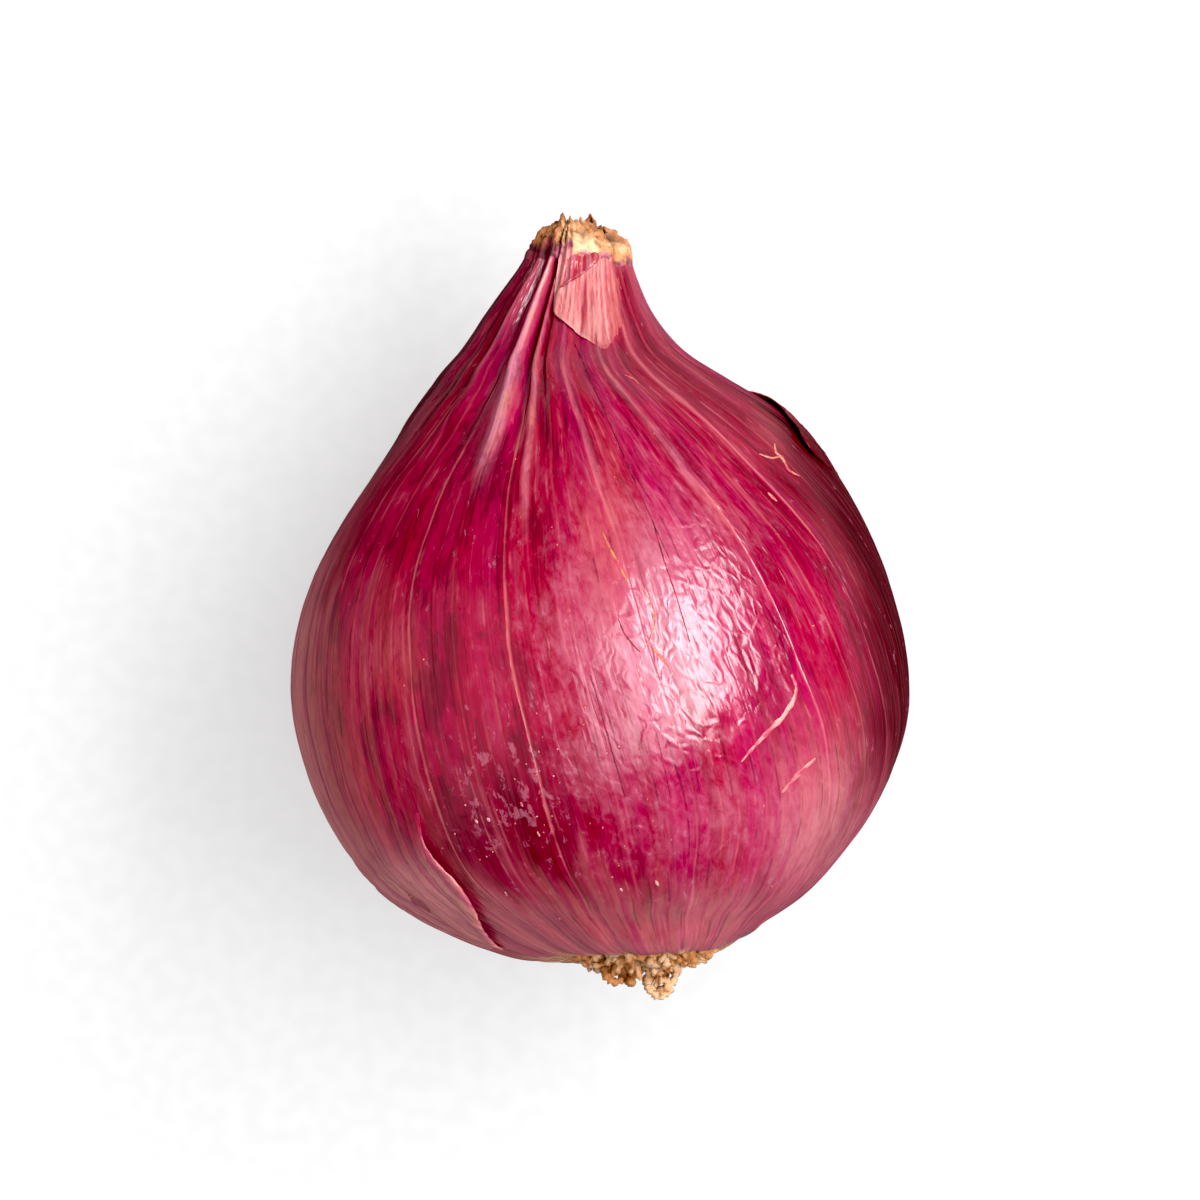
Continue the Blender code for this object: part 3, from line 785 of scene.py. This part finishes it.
def slab_faces(rows, columns):
    """Faces of a thin closed sheet: a top grid, then an under grid, and the walls between their edges."""
    under = rows * columns
    top = grid_faces(rows, columns)
    bottom = [face[::-1] for face in grid_faces(rows, columns, under)]
    at = np.arange(rows * columns).reshape(rows, columns)
    rim = [*at[0, :-1], *at[:-1, -1], *at[-1, :0:-1], *at[:0:-1, 0]]
    walls = [(a, a + under, b + under, b) for a, b in zip(rim, [*rim[1:], rim[0]])]
    return top + bottom + [tuple(int(i) for i in wall) for wall in walls]


class Pile:
    """Many small meshes, gathered to become one piece."""

    def __init__(self):
        self.points, self.faces, self.values, self.count = [], [], {}, 0

    def add(self, points, faces, **values):
        self.points.append(points)
        self.faces.extend([tuple(self.count + i for i in face) for face in faces])
        for key, value in values.items():
            self.values.setdefault(key, []).append(np.broadcast_to(value, (len(points),)))
        self.count += len(points)

    def piece(self, name):
        values = {key: np.concatenate(parts) for key, parts in self.values.items()}
        return mesh_object(name, to_row(np.vstack(self.points)), self.faces, values)


SHEET_THICK, STRIP_THICK = 0.10, 0.07


def skin_sheet(name, material, edges, columns, rows, lift, thickness=SHEET_THICK, **looks):
    """A loose piece of skin over the bulb. edges holds its sides, as (along, around, around) from end to end.
    lift(across, length, skin) is its height over the skin, in mm, with across and length from 0 to 1."""
    line = smooth_line(edges)
    length = np.repeat(np.linspace(0.0, 1.0, rows), columns)
    across = np.tile(np.linspace(0.0, 1.0, columns), rows)
    place = length * (len(line) - 1)
    along, first, second = (np.interp(place, np.arange(len(line)), column) for column in line.T)
    skin = Skin(first + (second - first) * across, PROFILE.arc_at(along))
    height = lift(across, length, skin)
    top, under = skin.point(height), skin.point(height - thickness)
    made, strand = skin_attributes(skin)
    for key, value in looks.items():
        made[key] = np.broadcast_to(value(across, length, skin) if callable(value) else value, along.shape)
    made = {key: np.concatenate([value, value]) for key, value in made.items()}
    strand, arc = np.tile(strand, 2), np.tile(skin.arc, 2)
    points, faces = to_row(np.vstack([top, under])), slab_faces(rows, columns)
    piece = mesh_object(name, points, faces, made, lambda at: np.stack([strand[at], arc[at]], axis=1))
    return dress(piece, material, "skin", "bulb")


def lower_flap(material):
    """The outer skin's loose edge at the lower left."""
    edges = [
        (11.0, 190, 134), (8.6, 190, 131), (6.1, 190, 132.5), (4.7, 190, 129.7), (3.5, 190, 127.3),
        (2.2, 190, 129), (1.2, 190, 137), (0.5, 190, 150),
    ]

    def lift(across, length, skin):
        ends = ease(0.12, 0.40, length) * (1.0 - 0.5 * ease(0.85, 1.0, length))
        tuck = 0.22 * bump(0.60, 0.09, across) * bump(0.66, 0.14, length)
        rise = 0.36 * ease(0.25, 1.0, across) + 0.14 * bump(0.97, 0.05, across) - tuck
        rough = 0.06 * fractal(skin.places * 0.9, 2, 31.0) + 0.05 * creases(skin.places * 1.3, 3, 35.0)
        return ends * (rise + rough) - 0.12 * (1.0 - ends) - 0.14 * ease(0.22, 0.0, across)

    def matte(across, length, skin):
        return np.maximum(skin.looks()["matte"], 0.9 * ease(0.15, 0.55, length))

    return skin_sheet("skin_flap", material, edges, 56, 64, lift, matte=matte)


def neck_tongue(material):
    """A pale strip of dried skin on the neck, torn at its lower end."""
    edges = [
        (41.0, 100, 26), (40.0, 100, 29), (38.6, 102, 34), (37.1, 100.5, 44), (36.5, 95.5, 48),
        (35.9, 88, 56), (35.3, 81, 64), (34.8, 76.5, 72),
    ]

    def lift(across, length, skin):
        torn = 0.05 * fractal(skin.places * 1.6, 3, 22.0)
        wrinkles = 0.04 * creases(skin.places * (1.4, 1.4, 0.4), 2, 24.0) * ease(1.0, 0.7, length)
        left = bump(0.0, 0.12, across) * 0.16 * ease(1.0, 0.7, length)
        sunk = 0.19 * ease(0.70, 1.0, across) + 0.07 * ease(0.45, 1.0, length)
        return 0.09 + left + torn + wrinkles - sunk

    def pale(across, length, skin):
        streaks = fractal(skin.places * (1.1, 1.1, 0.25), 2, 26.0)
        tip = 0.35 * bump(1.0, 0.25, length) + 0.5 * bump(0.0, 0.07, across)
        fades = ease(1.0, 0.5, across) * ease(1.15, 0.70, length)
        return np.clip(0.66 + 0.9 * streaks + tip, 0.0, 1.7) * fades

    looks = {"pale": pale, "dark_and_shade": 0.0, "vein": 0.0, "salmon": 0.8}
    return skin_sheet("neck_tongue", material, edges, 60, 60, lift, STRIP_THICK, **looks)


def neck_lobe(material):
    """A brighter scrap of skin over the strip's upper left corner."""
    edges = [
        (41.0, 106, 62), (40.7, 105, 62.5), (40.2, 103, 64), (39.8, 102, 70), (39.4, 102, 77.5),
        (39.0, 102, 85), (38.6, 101, 93), (38.4, 101, 97),
    ]

    def lift(across, length, skin):
        rise = 0.22 + 0.10 * bump(0.9, 0.15, across) + 0.05 * fractal(skin.places * 1.5, 3, 29.0)
        return rise - 0.36 * ease(0.32, 0.0, length)

    def pale(across, length, skin):
        streaks = fractal(skin.places * (1.2, 1.2, 0.3), 2, 28.0)
        return 0.45 + 0.8 * streaks + 0.9 * bump(0.0, 0.2, across) - 0.8 * bump(1.0, 0.06, across)

    looks = {"pale": pale, "dark_and_shade": 0.0, "vein": 0.0, "salmon": 0.5}
    return skin_sheet("neck_lobe", material, edges, 36, 36, lift, STRIP_THICK, **looks)


def shoulder_tear(material):
    """The outer skin has split on the right shoulder: a loose edge stands over a gap, which is painted dark
    as shade.
    """
    loose = [
        (34.0, -30, -4), (33.0, -30, 2), (32.3, -30, 7), (31.8, -30, 11), (30.6, -30, 19),
        (29.4, -30, 27), (28.5, -30, 24), (27.4, -30, 6),
    ]

    def loose_lift(across, length, skin):
        ends = ease(0.0, 0.3, length) * ease(1.0, 0.75, length)
        return ends * 0.42 * ease(0.35, 1.0, across) + 0.05 * creases(skin.places, 2, 38.0) - 0.05

    def rim(across, length, skin):
        return ease(0.86, 0.96, across) * bump(0.6, 0.3, length)

    return skin_sheet("shoulder_edge", material, loose, 40, 40, loose_lift, salmon=rim, gap=0.0)


# Marks on the skin, each a narrow raised strip: width in mm, tone, then points as (x, along) in mm
SKIN_MARKS = [
    (0.34, "haze", [(10.9, 16.3), (11.15, 15.4), (10.7, 14.2), (9.95, 13.35), (8.9, 12.25), (8.1, 11.3)]),
    (0.14, "white", [(10.9, 14.7), (10.3, 13.8), (9.9, 13.3), (9.2, 12.6)]),
    (0.28, "haze", [(12.15, 11.5), (11.35, 10.7), (10.35, 9.5)]),
    (0.18, "white", [(2.15, 16.9), (2.4, 16.1), (2.75, 15.3)]),
    (0.13, "dark", [(1.1, 19.5), (1.45, 18.7), (1.9, 18.1), (2.4, 17.6)]),
    (0.12, "tan", [(2.4, 21.4), (3.1, 20.2), (3.2, 19.2), (2.9, 18.4), (2.5, 17.6)]),
    (0.26, "tan", [(3.0, 18.0), (3.5, 17.4), (4.0, 16.8)]),
    (0.20, "tan", [(0.2, 24.5), (0.9, 23.0), (1.7, 21.5)]),
    (0.15, "rose", [(9.1, 29.05), (9.8, 28.8), (10.3, 28.8), (10.7, 28.1), (11.3, 27.7)]),
    (0.15, "rose", [(9.9, 29.6), (10.0, 29.1), (10.35, 28.8)]),
    (0.16, "rose", [(9.6, 26.8), (10.1, 26.3)]),
    (0.11, "rose", [(-9.2, 3.85), (-8.95, 3.45), (-8.5, 3.45)]),
    (0.09, "rose", [(-11.2, 3.2), (-10.4, 3.85), (-9.95, 4.5), (-9.8, 5.8)]),
    (0.10, "rose", [(1.5, 33.6), (2.0, 33.4), (2.3, 33.1)]),
    (0.24, "white", [(3.2, 4.5), (3.4, 4.2)]),
    (0.18, "white", [(1.2, 4.0), (1.35, 3.85)]),
    (0.20, "white", [(-7.2, 8.0), (-7.05, 7.8)]),
    (0.20, "white", [(-6.5, 8.1), (-6.35, 7.9)]),
    (0.18, "white", [(-4.6, 9.0), (-4.45, 8.75)]),
    (0.20, "white", [(-3.6, 7.3), (-3.45, 7.0)]),
    (0.16, "white", [(-5.5, 3.8), (-5.35, 3.6)]),
    (0.10, "dark", [(3.1, 25.1), (3.7, 23.0), (4.4, 20.8), (5.2, 18.1)]),
    (0.09, "dark", [(-0.5, 16.3), (0.4, 13.2), (1.5, 9.3)]),
    (0.09, "dark", [(3.3, 13.0), (4.1, 9.3)]),
    (0.09, "dark", [(5.2, 12.6), (5.75, 9.5)]),
    (0.09, "dark", [(-1.4, 35.5), (0.0, 32.3), (1.7, 28.3), (4.0, 23.0)]),
]
MARK_TONES = {"white": 0.9, "haze": 0.60, "rose": 0.45, "tan": 0.33, "dark": 0.0}
# A mark's section: places across it, from -1 to 1, and their heights over the skin in mm
MARK_SECTION = ((-1.0, -0.04), (-0.5, 0.035), (0.5, 0.035), (1.0, -0.04))
DUST_SPECKS = 66


def on_top(x, level):
    """(around, along) of the upper skin's point over x, at this distance along as seen from above."""
    along = np.array(level, float)
    for _ in range(12):
        radius = PROFILE.at(PROFILE.arc_at(along))[1]
        across = np.clip((x - axis_x(along)) / radius, -0.999, 0.999)
        around = np.arccos(across)
        up = BULB_OVAL * radius * np.sin(around)
        along = 0.5 * along + 0.5 * (level - up * math.sin(NECK_DOWN)) / math.cos(NECK_DOWN)
    return np.degrees(around), along


def dust(count):
    """Small random specks, the most of them at the lower left."""
    draw = random.Random(SEED + 2)
    made = []
    for number in range(count):
        lower = number % 3 > 0
        x = draw.gauss(-4.5, 4.0) if lower else draw.uniform(-13.0, 13.0)
        level = draw.gauss(8.5, 3.5) if lower else draw.uniform(3.0, 31.0)
        x, level = max(-13.5, min(13.5, x)), max(2.2, min(31.0, level))
        x *= min(1.0, 1.0 - (level - 18.0) / 22.0)
        turn, size = draw.uniform(0.0, math.pi), draw.uniform(0.05, 0.14)
        end = (x + size * math.cos(turn), level + size * math.sin(turn))
        width, tone = draw.uniform(0.06, 0.14), draw.choice(("white", "rose", "rose", "rose"))
        made.append((width, tone, [(x, level), end]))
    return made


def skin_marks(material):
    """Scratches, specks and scraps of the outermost skin."""
    pile = Pile()
    for width, tone, points in SKIN_MARKS + dust(DUST_SPECKS):
        x, along = smooth_line(points, 8).T
        away = np.stack([np.gradient(x), np.gradient(along)], axis=1)
        away /= np.linalg.norm(away, axis=1)[:, None]
        taper = np.sin(np.linspace(0.12, math.pi - 0.12, len(x))) ** 0.5
        wobble = 1.0 + 0.5 * fractal(np.stack([x * 3, along * 3, x * 0], axis=1), 2, 47.0)
        half = width / 2 * taper * wobble
        sides = []
        for across, lift in MARK_SECTION:
            px, pa = x - across * half * away[:, 1], along + across * half * away[:, 0]
            at, place = on_top(px, pa)
            sides.append(Skin(at, PROFILE.arc_at(place)).point(lift))
        rows, columns = len(x), len(sides)
        top = np.stack(sides, axis=1).reshape(-1, 3)
        under = np.repeat(np.stack([sides[0], sides[-1]]).mean(axis=0), columns, axis=0)
        under = 0.5 * (under + top) + (0.0, 0.08, 0.0)
        pile.add(np.vstack([top, under]), slab_faces(rows, columns), tone=MARK_TONES[tone])
    return dress(pile.piece("skin_marks"), material, "skin", "bulb")


NECK_RIM = 41.15
TIP_SCALES = [
    # around, half-width in degrees, start along, reach past the rim, lean inwards from 0 to 1, lift, tone
    (112, 30, 39.9, 2.0, 0.66, 0.12, 0.45),
    (134, 27, 40.0, 1.7, 0.70, 0.14, 0.35),
    (156, 28, 40.2, 1.1, 0.90, 0.10, 0.25),
    (88, 26, 40.0, 2.0, 0.72, 0.20, 0.85),
    (60, 24, 39.8, 1.5, 0.62, 0.18, 0.70),
    (36, 26, 39.5, 1.0, 0.60, 0.20, 0.60),
    (10, 28, 39.7, 0.6, 0.70, 0.14, 0.50),
    (-24, 30, 40.2, 1.5, 0.42, 0.16, 0.45),
    (-62, 32, 40.0, 1.9, 0.36, 0.18, 0.30),
    (-100, 30, 40.3, 1.5, 0.60, 0.14, 0.55),
    (-140, 34, 40.1, 1.1, 0.80, 0.14, 0.35),
    (176, 30, 40.1, 0.8, 0.90, 0.10, 0.25),
]

NECK_CENTRE = np.array([axis_x(NECK_RIM), 0.0, 0.0])
RIM_ARC = PROFILE.arc_at(NECK_RIM - 0.15)


def soft_spot(points, x, along, wide, tall):
    """A flat-topped round spot as seen from above, in mm."""
    return np.exp(-((((points[:, 0] - x) / wide) ** 2 + ((points[:, 2] - along) / tall) ** 2) ** 2))


def tip_hollow(points):
    """Where the dried end has its hollow, which is pitted in and painted dark as shade."""
    return soft_spot(points, 0.8, 41.8, 0.42, 0.36) * ease(-1.8, -0.8, -points[:, 1])


def tip_looks(points, tone):
    """Tone of the dried neck, where 0 is brown and 1 is cream, with a painted highlight in cream on its top,
    and where it is still red.
    """
    x, up, along = points[:, 0], -points[:, 1], points[:, 2]
    # A painted highlight in cream on the top of the dried end
    cream_highlight = soft_spot(points, -0.7, 41.35, 0.85, 0.65) * ease(0.0, 1.0, up)
    crust = 1.0 - ease(-3.0, -1.9, x)
    edge = along + 0.9 * fractal(points * 1.3, 3, 91.0) + ease(-2.0, -0.4, x)
    return np.maximum(tone * (1.0 - 0.6 * crust), cream_highlight), 1.0 - ease(41.0, 41.6, edge)


def crumple(points, size):
    """The points folded in and out by about this size, in mm, how folded each is, and the hollow's place."""
    folded = 1.0 - 0.6 * creases(points * 1.0, 3, 50.0) - 0.4 * creases(points * 2.1, 2, 53.0)
    out = points - NECK_CENTRE
    out[:, 2] = 0.0
    out /= np.maximum(np.linalg.norm(out, axis=1), 0.3)[:, None]
    hollow = tip_hollow(points)
    moved = points - out * ((folded - 0.6) * size + 0.7 * hollow)[:, None]
    moved[:, 2] += 0.5 * size * fractal(points * 1.1, 3, 61.0)
    return moved, folded, hollow


def add_tip_scale(pile, number, around, half, start, reach, lean, lift, tone):
    """One dried scale: a thin sheet that runs up the neck, bends in over its end and is torn there."""
    rows, columns = 30, 26
    length = np.repeat(np.linspace(0.0, 1.0, rows), columns)
    across = np.tile(np.linspace(-1.0, 1.0, columns), rows)
    edge = np.stack([across * 2.3, across * 0.0 + number * 3.1, across * 0.0], axis=1)
    ragged = 1.0 - 0.30 * np.abs(across) ** 3 + 0.28 * fractal(edge, 3, 71.0)
    free = ease(0.0, 1.0, (length - 0.35) / 0.65) ** 0.8 * (length > 0.35)
    along = np.interp(length, [0.0, 0.35, 1.0], [start, NECK_RIM - 0.15, NECK_RIM - 0.15])
    at = around + half * across * (1.0 - 0.15 * length)
    skin = Skin(at, np.minimum(PROFILE.arc_at(along), RIM_ARC))
    sides = []
    for height in (lift, lift - SHEET_THICK):
        base = skin.point(-0.09 + (height + 0.09) * ease(0.0, 0.34, length))
        bent = base - (base - NECK_CENTRE) * (1, 1, 0) * (lean * free**1.7)[:, None]
        bent[:, 2] += reach * ragged * free
        sides.append(bent)
    top, folded, hollow = crumple(sides[0], 0.42 * ease(0.15, 0.75, length))
    points = np.vstack([top, sides[1] + (top - sides[0])])
    tones, fresh = tip_looks(points, tone)
    looks = {"tone": tones, "fresh": fresh, "hole": np.tile(hollow, 2), "fold": np.tile(folded, 2)}
    pile.add(points, slab_faces(rows, columns), **looks)


def dome(rings, spokes):
    """Closed rings from an edge to the middle: each point's share of the radius, its angle, and the faces."""
    ring = np.repeat(np.linspace(1.0, 0.02, rings), spokes)
    turn = np.tile(np.arange(spokes) * 360.0 / spokes, rings)
    last = (rings - 1) * spokes
    return ring, turn, ring_faces(rings, spokes) + [list(range(last, last + spokes))]


def neck_paper(material):
    """The crumpled dried scales that close the neck, round a bud."""
    pile = Pile()
    for number, scale in enumerate(TIP_SCALES):
        add_tip_scale(pile, number, *scale)
    ring, turn, faces = dome(22, 72)
    rim = Skin(turn, np.full_like(turn, RIM_ARC)).point(-0.25)
    bud = NECK_CENTRE + (rim - NECK_CENTRE) * ring[:, None]
    bud[:, 2] = NECK_RIM - 0.5 + 1.5 * np.sqrt(1.0 - (0.98 * ring) ** 2)
    bud, folded, hollow = crumple(bud, np.full_like(ring, 0.5))
    pile.add(bud, faces, tone=tip_looks(bud, 0.15)[0], hole=hollow, fresh=0.0, fold=folded)
    return dress(pile.piece("neck_paper"), material, "dry_neck", "neck_tip")


def tube(path, radii, sides):
    """Points and faces of a closed round stem along the path."""
    path, radii = np.asarray(path, float), np.asarray(radii, float)
    along = np.gradient(path, axis=0)
    along /= np.linalg.norm(along, axis=1)[:, None]
    helper = np.array([1.0, 0.0, 0.0]) if abs(along[0, 0]) < 0.8 else np.array([0.0, 1.0, 0.0])
    first = np.cross(along, helper)
    first /= np.linalg.norm(first, axis=1)[:, None]
    second = np.cross(along, first)
    turn = np.arange(sides) * 2 * math.pi / sides
    ring = np.cos(turn)[None, :, None] * first[:, None] + np.sin(turn)[None, :, None] * second[:, None]
    points = (path[:, None] + radii[:, None, None] * ring).reshape(-1, 3)
    last = (len(path) - 1) * sides
    ends = [list(range(sides))[::-1], list(range(last, last + sides))]
    return points, ring_faces(len(path), sides) + ends


PLATE_RADIUS = 4.0
PLATE_ALONG = 0.05
PLATE_X = ROOT_ASIDE + 0.35 + axis_x(0.0)
ROOTLETS = 330
ROOTLET_RINGS = 9
ROOTS_END = -1.9
GOLDEN_TURN = 2.39996
# Stouter curled roots, each as points (x, up, along) in mm, from the plate outwards
STOUT_ROOTS = [
    [(2.9, 0.5, -0.8), (2.8, 0.3, -1.5), (2.9, 0.5, -2.1), (3.3, 0.6, -2.45), (3.8, 0.4, -2.4),
     (4.1, 0.3, -2.0), (3.9, 0.5, -1.6), (3.5, 0.7, -1.6)],
    [(4.5, 0.9, -0.5), (4.5, 0.7, -1.1), (4.3, 0.4, -1.6), (4.0, 0.6, -2.0), (3.4, 0.2, -2.2)],
    [(3.2, 0.3, -0.7), (3.5, 0.5, -1.2), (3.3, 0.2, -1.9), (2.9, 0.4, -2.3)],
    [(4.9, 1.5, 0.3), (5.6, 1.2, 0.0), (6.1, 1.4, 0.1), (6.6, 1.0, 0.2)],
    [(-0.8, 0.9, 0.2), (-1.3, 1.2, -0.1), (-1.8, 0.7, -0.1)],
    [(0.2, 0.6, -0.6), (0.4, 0.9, -1.3), (0.9, 0.7, -1.7), (1.5, 0.4, -1.5), (2.0, 0.8, -1.8)],
]


def add_stout_roots(pile, draw):
    for knots in STOUT_ROOTS:
        path = smooth_line([(x, -up, along) for x, up, along in knots], 7)
        radii = [draw.uniform(0.12, 0.34) for _ in path]
        points, faces = tube(path, radii, 8)
        pile.add(points, faces, shade=draw.random(), depth=np.repeat(np.linspace(0.35, 1.0, len(path)), 8))


def add_rootlet(pile, draw, number):
    """One short lumpy root, which stands on the plate and curls as it grows."""
    share = math.sqrt((number + 0.5) / ROOTLETS)
    turn = number * GOLDEN_TURN + draw.uniform(-0.3, 0.3)
    away = np.array([math.cos(turn), -BULB_OVAL * math.sin(turn)])
    foot = np.array([PLATE_X, 0.0]) + away * share * (PLATE_RADIUS - 0.3)
    lean = (0.05 + 0.75 * share**2) * draw.uniform(0.4, 1.3)
    heading = Vector((away[0] * math.sin(lean), away[1] * math.sin(lean), -math.cos(lean)))
    bend = Vector([draw.uniform(-1, 1) for _ in range(3)]).cross(heading).normalized()
    curl = draw.choice((0.5, 1.2, 2.2, 3.2)) * draw.choice((-1, 1))
    step = draw.uniform(1.2, 2.3) * (1.0 - 0.55 * share**2) / ROOTLET_RINGS
    thick = draw.uniform(0.18, 0.36)
    point, path, radii = Vector((foot[0], foot[1], PLATE_ALONG + 0.35 + root_tilt(foot[0]))), [], []
    for ring in range(ROOTLET_RINGS + 1):
        part = ring / ROOTLET_RINGS
        path.append(tuple(point))
        radii.append(thick * (1.05 - 0.25 * part) * draw.uniform(0.62, 1.2))
        point = point + heading * step
        point.z = max(point.z, ROOTS_END)
        heading.rotate(Matrix.Rotation(curl * part * 2.0 / ROOTLET_RINGS, 3, bend))
        heading.normalize()
    radii[-1] *= 0.6
    points, faces = tube(path, radii, 7)
    pile.add(points, faces, shade=draw.random(), depth=np.repeat(np.linspace(0.0, 1.0, len(path)), 7))


def rootlets(material):
    """The dried roots: short crumbly stubs all over the root plate."""
    draw = random.Random(SEED + 1)
    pile = Pile()
    for number in range(ROOTLETS):
        add_rootlet(pile, draw, number)
    add_stout_roots(pile, draw)
    return dress(pile.piece("rootlets"), material, "dry_root", "root_tuft")


def root_plate(material):
    """The hard crust that the roots grow from."""
    ring, turn, faces = dome(26, 110)
    radius, turn = (PLATE_RADIUS + 0.45) * ring, np.radians(turn)
    x, up = PLATE_X + radius * np.cos(turn), BULB_OVAL * radius * np.sin(turn)
    points = np.stack([x, -up, radius * 0.0], axis=1)
    crust = creases(points * 0.9, 3, 81.0)
    points[:, 2] = PLATE_ALONG + 0.9 * ease(0.88, 1.0, ring) + 0.30 * (1.0 - crust) + root_tilt(x)
    pile = Pile()
    pile.add(points, [face[::-1] for face in faces], shade=np.clip(crust, 0, 1), depth=0.1)
    return dress(pile.piece("root_plate"), material, "dry_root", "root_tuft")


# The floor gives off light round the bulb, in metres from its middle, and none just under it, which paints a
# contact shadow there
FLOOR_LIT_WITHIN = 0.055
FLOOR_FADES_BY = 0.16
FLOOR_SHADOWED_WITHIN = (0.004, 0.019)


def grey(value):
    return (value, value, value, 1.0)


def floor():
    """A pale lit table top, which falls off away from the bulb."""
    bpy.ops.mesh.primitive_plane_add(size=3.0, location=(0.0, 0.0, -0.0001))
    plane = bpy.context.object
    plane.name = "floor"
    g = Graph("pale_floor", FLOOR_NOISES)
    away = g.node("VectorMath", {0: g.place}, operation="LENGTH").outputs["Value"]
    far = g.between(away, FLOOR_LIT_WITHIN, FLOOR_FADES_BY)
    contact_shadow = g.between(away, *FLOOR_SHADOWED_WITHIN, 0.08, 1.0)
    tone = g.layered(grey(0.19), (grey(0.21), ("speck", 0.3, 0.7)), (grey(0.12), far))
    g.set(g.shader.inputs["Base Color"], tone)
    g.set(g.shader.inputs["Emission Strength"], g.product(contact_shadow, (far, 0.0, 1.0, 0.62, 0.05)))
    g.set(g.shader.inputs["Emission Color"], grey(1.0))
    g.set(g.shader.inputs["Roughness"], 0.8)
    plane.data.materials.append(g.material)


# Soft panels: name, radiance, lean, turn, and away, wide and tall in metres
LIGHTS = [
    ("key", 14.6, 35.0, 20.0, 0.40, 0.15, 0.46),
    ("glow", 4.6, 13.0, -12.0, 0.45, 0.24, 0.52),
    ("fill", 0.52, 58.0, 190.0, 0.50, 0.80, 1.00),
    ("back", 0.12, 66.0, 85.0, 0.50, 0.90, 0.45),
]


def area_light(name, radiance, lean, turn, away, wide, tall):
    """A soft panel that faces the bulb, with its tall sides in line with the bulb.
    lean is its angle from straight above and turn its angle from +X, in degrees."""
    lamp = bpy.data.lights.new(name, "AREA")
    lamp.shape, lamp.size, lamp.size_y = "RECTANGLE", wide, tall
    lamp.energy = radiance * math.pi * wide * tall
    holder = bpy.data.objects.new(name, lamp)
    bpy.context.scene.collection.objects.link(holder)
    lean, turn = math.radians(lean), math.radians(turn)
    out = Vector((math.sin(lean) * math.cos(turn), math.sin(lean) * math.sin(turn), math.cos(lean)))
    side = Vector((0.0, 1.0, 0.0)).cross(out).normalized()
    axes = Matrix((side, out.cross(side), out)).transposed()
    holder.matrix_world = Matrix.Translation(Vector((0.0, 0.0, 0.016)) + away * out) @ axes.to_4x4()


def studio():
    world = bpy.data.worlds.new("studio")
    world.use_nodes = True
    background = world.node_tree.nodes["Background"]
    background.inputs["Color"].default_value = grey(1.0)
    background.inputs["Strength"].default_value = 0.08
    bpy.context.scene.world = world
    for light in LIGHTS:
        area_light(*light)
    view = bpy.context.scene.view_settings
    view.view_transform = "Standard"
    view.use_curve_mapping = True
    view.curve_mapping.black_level = (0.018, 0.018, 0.018)
    view.curve_mapping.update()


CAMERA_AWAY, FRAME_WIDTH = 0.9, 0.070


def camera():
    lens = bpy.data.cameras.new("camera")
    lens.sensor_width = 36.0
    lens.clip_start, lens.clip_end = 0.05, 10.0
    lens.lens = lens.sensor_width * CAMERA_AWAY / FRAME_WIDTH
    holder = bpy.data.objects.new("camera", lens)
    bpy.context.scene.collection.objects.link(holder)
    low, high = (Vector(corner) for corner in CAD_BOUNDS)
    middle = (low + high) / 2
    holder.location = (middle.x, middle.y, middle.z + CAMERA_AWAY)
    bpy.context.scene.camera = holder


skin_finish = skin_material()
bulb_skin(skin_finish)
lower_flap(skin_finish)
neck_tongue(skin_finish)
neck_lobe(skin_finish)
shoulder_tear(skin_finish)
skin_marks(mark_material())
neck_paper(dry_neck_material())
root_finish = dry_root_material()
root_plate(root_finish)
rootlets(root_finish)
floor()
studio()
camera()
